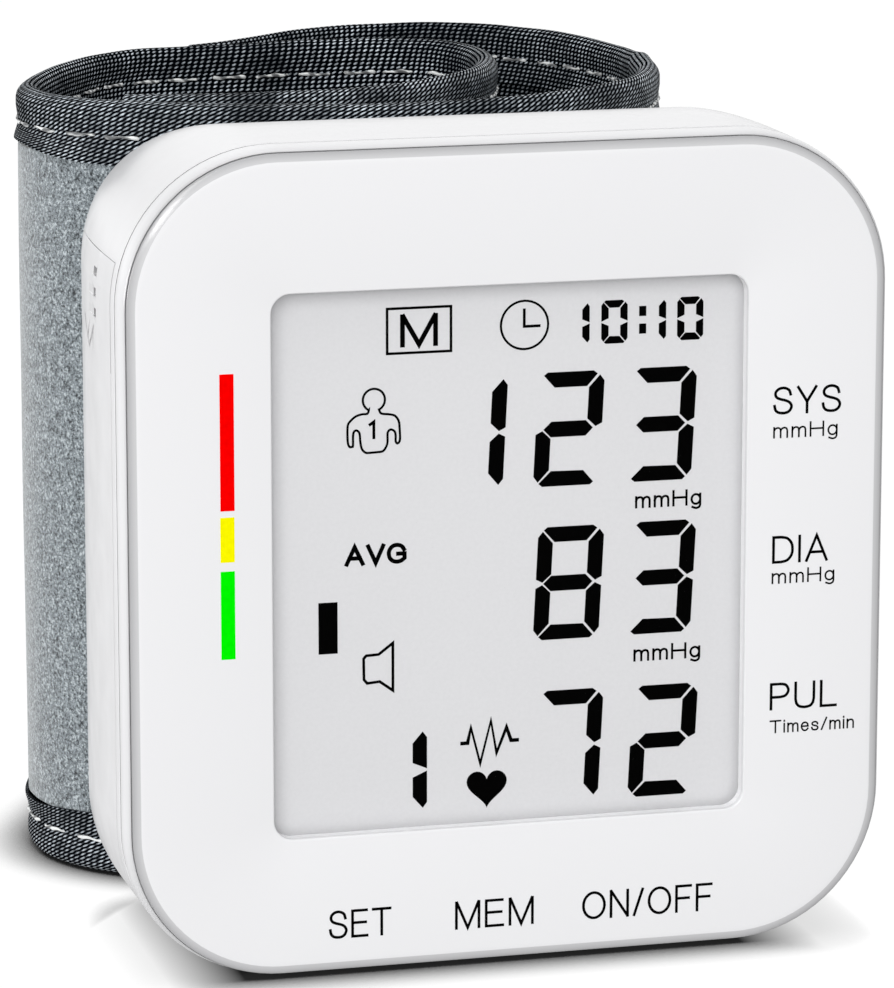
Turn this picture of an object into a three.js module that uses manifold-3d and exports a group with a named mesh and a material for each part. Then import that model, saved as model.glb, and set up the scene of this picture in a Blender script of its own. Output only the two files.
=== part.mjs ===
// Wrist blood pressure monitor: a white two-part case with a printed face and a display window,
// three keys, a battery bay on its left side, a pump, a valve and a pressure sensor inside,
// and a padded cuff that stands rolled up behind the case.
// Lengths are millimetres. +X is the viewer's right, +Y is away from the viewer, +Z is up.
// The origin is the middle of the case's flat underside, on which the case stands.

import * as THREE from 'three';
import { mergeVertices } from 'three/addons/utils/BufferGeometryUtils.js';
import Module from 'manifold-3d';

const wasm = await Module();
wasm.setup();

// Case: outline, depth and walls. Depths are counted from the flat face backwards.
const caseWidth = 75;
const caseHeight = 80;
const caseDepth = 29;
const caseCorner = 15;
const seamDepth = 3.1;
const seamGap = 0.3;
const sideWall = 1.8;
const backWall = 1.5;
const backRoundDepth = 20;
const backRoundInset = 2.9;
const backCornerLoss = 2.6;
const undersideRoundDepth = 11;
const undersideRoundInset = 4;
const lipInset = 1.0;
const lipDepth = 1.6;

// Face panel and the bezel band round it.
const faceInset = 1.34;
const panelThickness = 0.65;
const panelRimInset = 0.55;
const panelSeat = 0.05;
const bezelInset = 0.42;
const bezelShoulderInset = 0.16;
const bezelShoulderDepth = 1.6;
const faceWall = 0.85;

// Display window, lens, glass and frame.
const windowSideMargin = 14.2;
const windowEndMargin = 13.75;
const windowCorner = 1.9;
const lensMargin = 1.7;
const lensThickness = 0.8;
const lensRimWall = 0.9;
const glassMargin = 1.5;
const glassPlate = 0.9;
const glassLedge = 2;
const frameWall = 1.2;
const frameFlange = 0.5;
const frameFlangeReach = 1.8;
const framePostRadius = 1.1;
const stripMargin = 3.3;
const stripHeight = 1.4;

// Main board and what is soldered to it.
const boardDepth = 7;
const boardThickness = 1.6;
const boardClearance = 0.6;
const controllerSize = 12;
const controllerThickness = 1.3;
const controllerInset = 12.85;
const memoryWidth = 5;
const memoryHeight = 4;
const memoryInset = 10.85;
const chipGap = 1.5;
const buzzerRadius = 5;
const buzzerHeight = 4.5;
const buzzerInset = 10.85;
const buzzerDrop = 23;
const buzzerHoleRadius = 0.8;
const sensorSize = 8;
const sensorHeight = 3;
const sensorNozzle = 2.8;
const sensorSpan = 11;

// Keys, switch stems and switches. The keys' places are shares of half the case's width.
const keyShares = [-0.4, -0.0453, 0.3653];
const keyNames = ['set', 'memory', 'power'];
const keyZ = 5.3;
const keyRadius = 2.3;
const keyHoleRadius = 2.6;
const keyFlangeRadius = 2.9;
const keyFlange = 0.8;
const keyLength = 3;
const keyTravel = 0.4;
const stemRadius = 1;
const stemLength = 1.8;
const switchSize = 4.6;
const switchHeight = 2.6;
const switchBore = 1.3;

// Battery door, bay, cells and contacts.
const doorFront = 5.2;
const doorTopInset = 11;
const doorReach = 4.5;
const doorWall = 1.6;
const doorGap = 0.25;
const bayDrop = 4.55;
const bayWall = 1.2;
const bayFrontWall = 0.8;
const ledgeWall = 1.2;
const ledgeMargin = 2.5;
const cellRadius = 5.25;
const cellLength = 44.5;
const cellNubRadius = 2.7;
const cellNubHeight = 1;
const cellPitch = 10.7;
const cellSideGap = 1;
const cellClearance = 0.3;
const contactThickness = 0.5;
const contactWidth = 7.4;
const contactGap = 0.2;
const batterySpringRadius = 3;
const batterySpringWire = 0.35;
const batterySpringPitch = 1.35;
const batterySpringTurns = 4;
const gripGrooves = 3;
const gripInset = 2;
const gripPitch = 1.95;
const gripHeight = 0.85;
const gripStart = 13;
const gripLength = 7;
const gripDepth = 0.4;
const arrowInset = 7.2;
const arrowHeight = 2.9;
const doorRibThickness = 1.2;
const doorRibRises = [14.4, 36.4];

// Screws and their bosses.
const screwRadius = 1.1;
const screwHeadRadius = 2.2;
const screwHead = 1.4;
const screwGap = 0.15;
const screwTip = 8;
const screwHeadDepth = 26;
const frontBossRadius = 2.5;
const frontBossEnd = 9;
const rearBossRadius = 3.6;
const sideBossInset = 8.7;
const highBossInset = 8.5;
const lowBossZ = 8.5;
const keyBossSpan = 6.5;
const postRadius = 2;
const postSideInset = 18.5;
const postEndInset = 7;
const boardScrewRadius = 0.9;
const boardScrewHead = 1.9;
const boardScrewLength = 3;

// Pump: motor, crank, head, diaphragm and cover, on one upright axis.
const pumpSideInset = 13.5;
const pumpGap = 0.6;
const motorRadius = 7.8;
const motorLift = 0.9;
const motorLength = 20;
const motorBushRadius = 2.6;
const motorBushHeight = 1.2;
const motorShaftRadius = 1;
const motorShaftDepth = 6;
const shaftClearance = 0.15;
const crankRadius = 3;
const crankOffset = 1;
const crankThickness = 3;
const crankLift = 2.5;
const headSize = 16.8;
const headCorner = 3;
const headHeight = 12.5;
const headCavityRadius = 6.6;
const headCavityHeight = 8.5;
const cupRadius = 2.2;
const cupClearance = 0.3;
const cupOrbit = 3.9;
const cupDrop = 3.2;
const diaphragmThickness = 1.8;
const coverHeight = 6;
const pumpTubeArch = 4;
const stackGap = 0.3;

// Release valve, air manifold, nozzles and tubes.
const airX = -2;
const valveRadius = 5.5;
const valveEndInset = 7;
const valveHeight = 16;
const valveBore = 2.6;
const valveWall = 1.2;
const plungerRadius = 2.2;
const plungerHeight = 7.5;
const valveSpringRadius = 1.5;
const valveSpringWire = 0.15;
const valveSpringPitch = 0.8;
const valveSpringTurns = 4;
const nozzleRadius = 1.2;
const nozzleLength = 4;
const manifoldRadius = 2.6;
const manifoldHeight = 7;
const manifoldDrop = 14;
const tubeRadius = 2.3;
const tubeBore = 1.65;
const tubeLap = 2.5;
const cradleWall = 1.4;
const cradleGap = 0.3;

// Cuff plate, which clips the cuff to the back of the case.
const plateSideInset = 20.5;
const plateEndInset = 10;
const plateThickness = 1.2;
const plateCorner = 5;
const plateRecess = 1.3;
const plateGap = 0.3;
const hookWidth = 5;
const hookThickness = 1.4;
const hookBarb = 0.8;
const hookLength = 1.2;
const hookClearance = 0.3;
const portDrop = 14;
const portRadius = 1.2;
const portBore = 0.7;
const portReach = 7;

// Cuff: a padded band in a spiral, and the free tail that lies outside it.
const cuffTopInset = 0.4;
const bandHalf = 1.1;
const outerFabric = 0.5;
const lining = 0.4;
const hemHalf = 1.1;
const hemFlare = 0.45;
const hemHeight = 5.3;
const hemStitch = 3.1;
const hemCloth = 0.35;
const hemRound = 0.8;
const hemLap = 0.3;
const layerGap = 0.1;
const bladderHalf = 0.45;
const bladderMargin = 13;
const bladderEdge = 3;
const tailLift = 0.4;
const tailHalf = 0.8;
const tailHemHalf = 0.9;
const tailHemFlare = 0.35;
const tailSplit = 0.4;
const hookPatchThickness = 0.6;
const hookPatchLengthShare = 0.42;
const hookPatchMargin = 12;
const rollLeft = -36.3;
const rollStandOff = 2.2;
const rollWidth = 68.7;
const rollDepth = 66.8;
const bladderStartShare = 0.34;
const bladderEndShare = 0.93;

// Centre line of the band, seen from above: the inner end, the front inner run, the right inner bend,
// the rear run, the left bend, the front run behind the case and the right outer bend.
const cuffPathShares = [
  [0.116, 0.175], [0.208, 0.16], [0.317, 0.157], [0.426, 0.171], [0.521, 0.205], [0.61, 0.265],
  [0.68, 0.341], [0.731, 0.443], [0.755, 0.554], [0.751, 0.647], [0.712, 0.711], [0.642, 0.743],
  [0.536, 0.749], [0.419, 0.738], [0.317, 0.734], [0.231, 0.713], [0.16, 0.654], [0.093, 0.552],
  [0.035, 0.437], [0.003, 0.335], [0.012, 0.243], [0.058, 0.157], [0.141, 0.091], [0.255, 0.042],
  [0.392, 0.01], [0.534, 0], [0.645, 0.015], [0.741, 0.057], [0.828, 0.12], [0.901, 0.205],
  [0.953, 0.316], [0.985, 0.467]
];
// The tail goes on from there: the rear outer run and its end, which lies against the rear run.
const tailPathShares = [
  [0.985, 0.467], [0.993, 0.59], [0.972, 0.716], [0.932, 0.832], [0.869, 0.928], [0.785, 0.985],
  [0.686, 0.994], [0.587, 0.961], [0.496, 0.9], [0.418, 0.834], [0.345, 0.795]
];

// Fineness of round shapes.
const cornerSteps = 7;
const roundSteps = 6;
const fineSides = 22;
const rodSides = 12;
const wireSides = 5;
const wireSteps = 8;
const tubeSides = 6;
const tubeSteps = 12;
const cuffSteps = 62;
const tailSteps = 20;
const overrun = 1;

// Derived places.
const standDepth = (seamDepth + caseDepth - undersideRoundDepth) / 2;
const halfWidth = caseWidth / 2;
const middleZ = caseHeight / 2;
const windowWidth = caseWidth - 2 * windowSideMargin;
const windowHeight = caseHeight - 2 * windowEndMargin;
const stripWidth = windowWidth - 2 * stripMargin;
const keyX = keyShares.map((share) => share * halfWidth);
const bezelDepth = panelThickness + panelSeat;
const faceBack = bezelDepth + faceWall;
const lensFront = faceBack + panelSeat;
const glassFront = lensFront + lensThickness + layerGap;
const glassBack = glassFront + 2 * glassPlate;
const frameFront = glassFront + layerGap;
const lensRimBack = lensFront + lensThickness;
const frameBack = glassBack + frameFlange + layerGap;
const boardBack = boardDepth + boardThickness;
const pumpDepth = boardBack + pumpGap + headSize / 2;
const airDepth = pumpDepth;
const backInside = caseDepth - backWall;
const recessFloor = caseDepth - plateRecess;
const recessInside = recessFloor - backWall;
const batterySpringLength = batterySpringPitch * batterySpringTurns;
const valveSpringLength = valveSpringPitch * valveSpringTurns;
const valveBoreHeight = stackGap + plungerHeight + valveSpringLength + 2 * layerGap;
const bayLength = cellLength + batterySpringLength + 2 * contactThickness + 4 * contactGap;
const bayBottom = middleZ - bayDrop - bayLength / 2;
const bayTop = bayBottom + bayLength;
const bayFront = doorFront + bayFrontWall;
const cellX = -halfWidth + doorWall + cellSideGap + cellRadius;
const bayInnerX = cellX + cellRadius + seamGap;
const cellDepths = [bayFront + contactGap + cellRadius, bayFront + contactGap + cellRadius + cellPitch];
const doorEdgeX = -halfWidth + doorReach;
const doorTop = caseHeight - doorTopInset;
const gripTop = doorTop - gripInset;
const arrowTop = doorTop - arrowInset;
const boardLeft = bayInnerX + bayWall + boardClearance;
const controllerX = boardLeft + controllerInset;
const memoryX = boardLeft + memoryInset;
const buzzerX = boardLeft + buzzerInset;
const buzzerZ = middleZ - buzzerDrop;
const sensorX = airX - sensorSpan;
const sideBossX = halfWidth - sideBossInset;
const highBossZ = caseHeight - highBossInset;
const keyBossX = keyX[0] - keyBossSpan;
const postX = halfWidth - postSideInset;
const postZ = caseHeight - postEndInset;
const pumpX = halfWidth - pumpSideInset;
const motorBottom = lowBossZ + rearBossRadius + motorLift;
const valveBottom = caseHeight - valveEndInset - valveHeight;
const manifoldZ = valveBottom - manifoldDrop;
const memoryZ = manifoldZ + sensorSize / 2 + chipGap + memoryHeight / 2;
const controllerZ = memoryZ + memoryHeight / 2 + chipGap + controllerSize / 2;
const portZ = manifoldZ - portDrop;
const rollFront = caseDepth + rollStandOff;
const cuffHeight = caseHeight - cuffTopInset;
const tailHeight = cuffHeight - 2 * tailLift;
const plateWidth = caseWidth - 2 * plateSideInset;
const plateHeight = caseHeight - 2 * plateEndInset;

// Y of a place given by its depth behind the face.
function behind(depth) {
  return depth - standDepth;
}

// Signed volume of an indexed triangle mesh.
function signedVolume(points, faces) {
  let total = 0;
  for (let i = 0; i < faces.length; i += 3) {
    const [a, b, c] = faces.slice(i, i + 3).map((k) => new THREE.Vector3(...points[k]));
    total += a.dot(b.cross(c));
  }
  return total / 6;
}

// Geometry from points and faces, with its faces turned outwards.
function closedGeometry(points, faces) {
  const turned = signedVolume(points, faces) < 0 ? [...faces].reverse() : faces;
  const geometry = new THREE.BufferGeometry();
  geometry.setAttribute('position', new THREE.Float32BufferAttribute(points.flat(), 3));
  geometry.setIndex(turned);
  geometry.computeVertexNormals();
  return geometry;
}

// Closed solid through equal rings of points, each ring closed on itself.
function skin(rings, capFaces) {
  const count = rings[0].length;
  const faces = [];
  for (let r = 0; r + 1 < rings.length; r += 1) {
    for (let i = 0; i < count; i += 1) {
      const [a, b] = [r * count + i, r * count + (i + 1) % count];
      faces.push(a, b, b + count, a, b + count, a + count);
    }
  }
  const last = (rings.length - 1) * count;
  for (const [a, b, c] of capFaces) {
    faces.push(c, b, a, last + a, last + b, last + c);
  }
  return closedGeometry(rings.flat(), faces);
}

// Triangles that fill a flat outline given as 2D points, each turned the way the outline runs.
function capOf(outline) {
  const points = outline.map(([x, y]) => new THREE.Vector2(x, y));
  const turn = Math.sign(THREE.ShapeUtils.area(points));
  return THREE.ShapeUtils.triangulateShape(points, []).map(([a, b, c]) => {
    const area = THREE.ShapeUtils.area([points[a], points[b], points[c]]);
    return Math.sign(area) === turn ? [a, b, c] : [c, b, a];
  });
}

// Rounded rectangle as 2D points, counter-clockwise, centred on zero.
function roundedOutline(width, height, corner) {
  const points = [];
  for (let quarter = 0; quarter < 4; quarter += 1) {
    const sx = quarter === 0 || quarter === 3 ? 1 : -1;
    const sz = quarter < 2 ? 1 : -1;
    for (let i = 0; i <= cornerSteps; i += 1) {
      const angle = (quarter + i / cornerSteps) * Math.PI / 2;
      const x = sx * (width / 2 - corner) + corner * Math.cos(angle);
      const z = sz * (height / 2 - corner) + corner * Math.sin(angle);
      points.push([x, z]);
    }
  }
  return points;
}

// Solid through case outlines. A section has its depth, its inset and, where they differ from it,
// the inset of its lower side and the radius of its corners.
function caseLoft(sections) {
  const rings = sections.map(([depth, inset, lowInset = inset, corner = caseCorner - inset]) => {
    const outline = roundedOutline(caseWidth - 2 * inset, caseHeight - inset - lowInset, corner);
    return outline.map(([x, z]) => [x, behind(depth), z + middleZ + (lowInset - inset) / 2]);
  });
  return skin(rings, capOf(rings[0].map(([x, , z]) => [x, z])));
}

// Sections of the rounded back, for the outside or for a surface inside it. The underside stays
// flat for longer than the other sides, so that the case can stand on it.
function backSections(wall, back) {
  const flatDepth = caseDepth - undersideRoundDepth;
  const sections = [];
  for (let i = 0; i <= roundSteps; i += 1) {
    const angle = i / roundSteps * Math.PI / 2;
    const bend = 1 - Math.cos(angle);
    const depth = caseDepth - backRoundDepth + (backRoundDepth - back) * Math.sin(angle);
    const share = Math.min(Math.max((depth - flatDepth) / (undersideRoundDepth - back), 0), 1);
    const inset = wall + backRoundInset * bend;
    const lowInset = wall + undersideRoundInset * (1 - Math.sqrt(1 - share * share));
    sections.push([depth, inset, lowInset, caseCorner - inset - backCornerLoss * bend]);
  }
  return sections;
}

// Box between two corners, with depths instead of Y.
function box(x0, x1, depth0, depth1, z0, z1) {
  const geometry = new THREE.BoxGeometry(x1 - x0, depth1 - depth0, z1 - z0);
  return geometry.translate((x0 + x1) / 2, behind((depth0 + depth1) / 2), (z0 + z1) / 2);
}

// Rounded plate facing the viewer.
function plate(width, height, corner, x, z, depth0, depth1) {
  const rings = [depth0, depth1].map((depth) => roundedOutline(width, height, corner)
    .map(([px, pz]) => [px + x, behind(depth), pz + z]));
  return skin(rings, capOf(roundedOutline(width, height, corner)));
}

// Rounded block standing on a level.
function block(width, corner, x, depth, z0, z1) {
  const rings = [z0, z1].map((z) => roundedOutline(width, width, corner)
    .map(([px, py]) => [px + x, py + behind(depth), z]));
  return skin(rings, capOf(roundedOutline(width, width, corner)));
}

// Round rod from front to back.
function rodY(radius, x, z, depth0, depth1, sides = rodSides) {
  const geometry = new THREE.CylinderGeometry(radius, radius, depth1 - depth0, sides);
  return geometry.translate(x, behind((depth0 + depth1) / 2), z);
}

// Upright round rod.
function rodZ(radius, x, depth, z0, z1, sides = rodSides) {
  const geometry = new THREE.CylinderGeometry(radius, radius, z1 - z0, sides);
  return geometry.rotateX(Math.PI / 2).translate(x, behind(depth), (z0 + z1) / 2);
}

// Round rod from left to right.
function rodX(radius, depth, z, x0, x1, sides = rodSides) {
  const geometry = new THREE.CylinderGeometry(radius, radius, x1 - x0, sides);
  return geometry.rotateZ(Math.PI / 2).translate((x0 + x1) / 2, behind(depth), z);
}

// Geometry as a solid for cutting and joining.
function toSolid(geometry) {
  const bare = geometry.clone();
  bare.deleteAttribute('normal');
  bare.deleteAttribute('uv');
  const merged = mergeVertices(bare);
  return new wasm.Manifold(new wasm.Mesh({
    numProp: 3,
    vertProperties: new Float32Array(merged.attributes.position.array),
    triVerts: new Uint32Array(merged.index.array)
  }));
}

// Solid back to a geometry.
function fromSolid(solid) {
  const mesh = solid.getMesh();
  const geometry = new THREE.BufferGeometry();
  geometry.setAttribute('position', new THREE.Float32BufferAttribute(mesh.vertProperties, 3));
  geometry.setIndex(Array.from(mesh.triVerts));
  geometry.computeVertexNormals();
  return geometry;
}

function cut(base, ...tools) {
  return fromSolid(tools.reduce((solid, tool) => solid.subtract(toSolid(tool)), toSolid(base)));
}

function join(base, ...others) {
  return fromSolid(others.reduce((solid, other) => solid.add(toSolid(other)), toSolid(base)));
}

function common(base, other) {
  return fromSolid(toSolid(base).intersect(toSolid(other)));
}

const monitor = new THREE.Group();
monitor.name = 'wrist_blood_pressure_monitor';

const materials = {
  case: new THREE.MeshStandardMaterial({ color: 0xf2f2f4, roughness: 0.25 }),
  panel: new THREE.MeshStandardMaterial({ color: 0xf6f6f8, roughness: 0.15 }),
  lens: new THREE.MeshStandardMaterial({
    color: 0xdfe0e2, roughness: 0.1, transparent: true, opacity: 0.4
  }),
  display: new THREE.MeshStandardMaterial({ color: 0xdbdbdd, roughness: 0.4 }),
  frame: new THREE.MeshStandardMaterial({ color: 0xc9ccd0, roughness: 0.6 }),
  strip: new THREE.MeshStandardMaterial({ color: 0x6c6f75, roughness: 0.9 }),
  board: new THREE.MeshStandardMaterial({ color: 0x1f6b45, roughness: 0.5 }),
  chip: new THREE.MeshStandardMaterial({ color: 0x1a1a1c, roughness: 0.5 }),
  key: new THREE.MeshStandardMaterial({ color: 0xd8dade, roughness: 0.5 }),
  steel: new THREE.MeshStandardMaterial({ color: 0xb9bcc0, roughness: 0.3, metalness: 1 }),
  nickel: new THREE.MeshStandardMaterial({ color: 0xc8c9c4, roughness: 0.25, metalness: 1 }),
  cell: new THREE.MeshStandardMaterial({ color: 0x9aa3ab, roughness: 0.35, metalness: 0.6 }),
  rubber: new THREE.MeshStandardMaterial({ color: 0x3b3b3e, roughness: 0.8 }),
  tube: new THREE.MeshStandardMaterial({ color: 0xe3e3df, roughness: 0.5 }),
  nylon: new THREE.MeshStandardMaterial({ color: 0xe8e6e0, roughness: 0.5 }),
  loop: new THREE.MeshStandardMaterial({ color: 0x808890, roughness: 0.95 }),
  weave: new THREE.MeshStandardMaterial({ color: 0x24272b, roughness: 0.75 }),
  bladder: new THREE.MeshStandardMaterial({ color: 0x4a4d52, roughness: 0.7 })
};

function addPiece(name, geometry, material) {
  const mesh = new THREE.Mesh(geometry, material);
  mesh.name = name;
  monitor.add(mesh);
}

// The window's outline grown by a margin, as a plate.
function windowPlate(margin, depth0, depth1) {
  const corner = windowCorner + Math.max(margin, 0);
  return plate(windowWidth + 2 * margin, windowHeight + 2 * margin, corner, 0, middleZ, depth0, depth1);
}

function makeFacePanel() {
  const rimDepth = panelThickness / 2;
  const rimInset = (faceInset + panelRimInset) / 2 - rimDepth / 4;
  const body = caseLoft([[0, faceInset], [rimDepth, rimInset], [panelThickness, panelRimInset]]);
  addPiece('face_panel', cut(body, windowPlate(0, -overrun, panelThickness + overrun)), materials.panel);
}

// Places of the four case screws: [x, z].
const screwPlaces = [
  [-sideBossX, highBossZ], [sideBossX, highBossZ], [sideBossX, lowBossZ], [keyBossX, keyZ]
];
const postPlaces = [[-postX, postZ], [postX, postZ]];

function makeFrontCase() {
  const lipEnd = seamDepth + lipDepth;
  const front = caseLoft([
    [bezelDepth, bezelInset], [bezelShoulderDepth, bezelShoulderInset], [seamDepth, 0]
  ]);
  const lip = caseLoft([[bezelShoulderDepth, lipInset], [lipEnd, lipInset]]);
  const cavity = caseLoft([[faceBack, sideWall], [lipEnd + overrun, sideWall]]);
  const shell = cut(join(front, lip), cavity);
  const rimMargin = lensMargin + contactGap;
  const rimOuter = windowPlate(rimMargin + lensRimWall, bezelDepth + panelSeat, lensRimBack);
  const rimInner = windowPlate(rimMargin, faceBack, lensRimBack + overrun);
  const root = faceBack - panelSeat;
  const bosses = screwPlaces.map(([x, z]) => rodY(frontBossRadius, x, z, root, frontBossEnd));
  const posts = postPlaces.map(([x, z]) => rodY(postRadius, x, z, root, boardDepth - layerGap));
  const built = join(shell, cut(rimOuter, rimInner), ...bosses, ...posts);
  const screwHoles = screwPlaces.map(([x, z]) => rodY(
    screwRadius + screwGap, x, z, faceBack + faceWall, frontBossEnd + overrun
  ));
  const postHoles = postPlaces.map(([x, z]) => rodY(
    boardScrewRadius + screwGap, x, z, faceBack + faceWall, boardDepth + overrun
  ));
  const keyHoles = keyX.map((x) => rodY(keyHoleRadius, x, keyZ, 0, faceBack + overrun));
  const opening = windowPlate(0, 0, faceBack + overrun);
  addPiece('front_case', cut(built, opening, ...screwHoles, ...postHoles, ...keyHoles), materials.case);
}

function makeDisplay() {
  addPiece('display_lens', windowPlate(lensMargin, lensFront, lensFront + lensThickness), materials.lens);
  const left = -windowWidth / 2 - glassMargin;
  const bottom = middleZ - windowHeight / 2 - glassMargin;
  const top = middleZ + windowHeight / 2 + glassMargin;
  const front = box(left, -left, glassFront, glassFront + glassPlate, bottom, top);
  const rear = box(left, -left, glassFront + glassPlate / 2, glassBack, bottom - glassLedge, top);
  addPiece('display_glass', join(front, rear), materials.display);

  const gap = layerGap + contactGap;
  const low = bottom - glassLedge - gap;
  const high = top + gap;
  const outer = box(
    left - gap - frameWall, -left + gap + frameWall, frameFront, frameBack,
    low - frameWall, high + frameWall
  );
  const pocket = box(
    left - gap, -left + gap, frameFront - overrun, glassBack + layerGap, low, high
  );
  const opening = box(
    left + frameFlangeReach, -left - frameFlangeReach, frameFront, frameBack + overrun,
    low + frameFlange, top - frameFlangeReach
  );
  const frameEnd = boardDepth - layerGap;
  const postHeight = high + frameWall - framePostRadius;
  const posts = [-stripWidth / 2, stripWidth / 2].map((x) => rodY(
    framePostRadius, x, postHeight, frameBack - frameFlange, frameEnd
  ));
  addPiece('display_frame', join(cut(outer, pocket, opening), ...posts), materials.frame);

  const stripBottom = bottom - glassLedge + frameFlange;
  addPiece('conductive_strip', box(
    -stripWidth / 2, stripWidth / 2, glassBack + layerGap, frameEnd,
    stripBottom, stripBottom + stripHeight
  ), materials.strip);
}

function makeBoard() {
  const blank = box(boardLeft, halfWidth, boardDepth, boardBack, 0, caseHeight);
  const limit = sideWall + boardClearance;
  const inside = caseLoft([[boardDepth - overrun, limit], [boardBack + overrun, limit]]);
  const bossHoles = screwPlaces.map(([x, z]) => rodY(
    frontBossRadius + cradleGap, x, z, boardDepth - overrun, boardBack + overrun
  ));
  const screwHoles = postPlaces.map(([x, z]) => rodY(
    boardScrewRadius + screwGap, x, z, boardDepth - overrun, boardBack + overrun
  ));
  addPiece('main_board', cut(common(blank, inside), ...bossHoles, ...screwHoles), materials.board);

  const seat = boardBack + layerGap;
  const half = controllerSize / 2;
  addPiece('controller_chip', box(
    controllerX - half, controllerX + half, seat, seat + controllerThickness,
    controllerZ - half, controllerZ + half
  ), materials.chip);
  addPiece('memory_chip', box(
    memoryX - memoryWidth / 2, memoryX + memoryWidth / 2, seat, seat + controllerThickness,
    memoryZ - memoryHeight / 2, memoryZ + memoryHeight / 2
  ), materials.chip);
  addPiece('buzzer', cut(
    rodY(buzzerRadius, buzzerX, buzzerZ, seat, seat + buzzerHeight, fineSides),
    rodY(buzzerHoleRadius, buzzerX, buzzerZ, seat + buzzerHeight / 2, seat + buzzerHeight + overrun)
  ), materials.chip);
  const halfSensor = sensorSize / 2;
  const sensorBody = box(
    sensorX - halfSensor, sensorX + halfSensor, seat, seat + sensorHeight,
    manifoldZ - halfSensor, manifoldZ + halfSensor
  );
  const sensorPipe = rodY(
    nozzleRadius, sensorX, manifoldZ, seat + sensorHeight / 2, seat + sensorHeight + sensorNozzle
  );
  addPiece('pressure_sensor', join(sensorBody, sensorPipe), materials.chip);
}

function makeKeys() {
  const keyFront = panelThickness + 2 * panelSeat;
  const keyBack = keyFront + keyLength;
  const switchFront = boardDepth - layerGap - switchHeight;
  keyX.forEach((x, i) => {
    const flangeFront = faceBack + stackGap;
    const button = join(
      rodY(keyRadius, x, keyZ, keyFront, keyBack, fineSides),
      rodY(keyFlangeRadius, x, keyZ, flangeFront, flangeFront + keyFlange, fineSides)
    );
    addPiece(`key_${keyNames[i]}`, button, materials.key);
    const stemFront = keyBack + layerGap;
    const stem = rodY(stemRadius, x, keyZ, stemFront, stemFront + stemLength);
    addPiece(`switch_stem_${keyNames[i]}`, stem, materials.nylon);
    const half = switchSize / 2;
    const body = box(x - half, x + half, switchFront, boardDepth - layerGap, keyZ - half, keyZ + half);
    const bore = rodY(switchBore, x, keyZ, switchFront - overrun, stemFront + stemLength + 2 * keyTravel);
    addPiece(`switch_${keyNames[i]}`, cut(body, bore), materials.chip);
  });
}

// The space that the battery door's shell fills, grown by a gap on its edges.
function doorSpace(gap) {
  return box(
    -halfWidth - overrun, doorEdgeX + gap, doorFront - gap, caseDepth + overrun, -overrun, doorTop + gap
  );
}

// Saddle rib that carries a round housing: a rib from the back wall with a round seat.
function saddle(x, depth, radius, z, wallDepth) {
  const half = radius + cradleWall;
  const rib = box(
    x - half, x + half, depth, wallDepth + overrun / 2, z - cradleWall / 2, z + cradleWall / 2
  );
  return cut(rib, rodZ(radius + cradleGap, x, depth, z - overrun, z + overrun, fineSides));
}

// Places of the cuff plate's four hooks: [x, z, direction of the barb].
function hookPlaces() {
  const x = plateWidth / 2 - hookWidth;
  const z = plateHeight / 2 - hookWidth;
  return [1, -1].flatMap((side) => [-x, x].map((across) => [airX + across, middleZ + side * z, side]));
}

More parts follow.
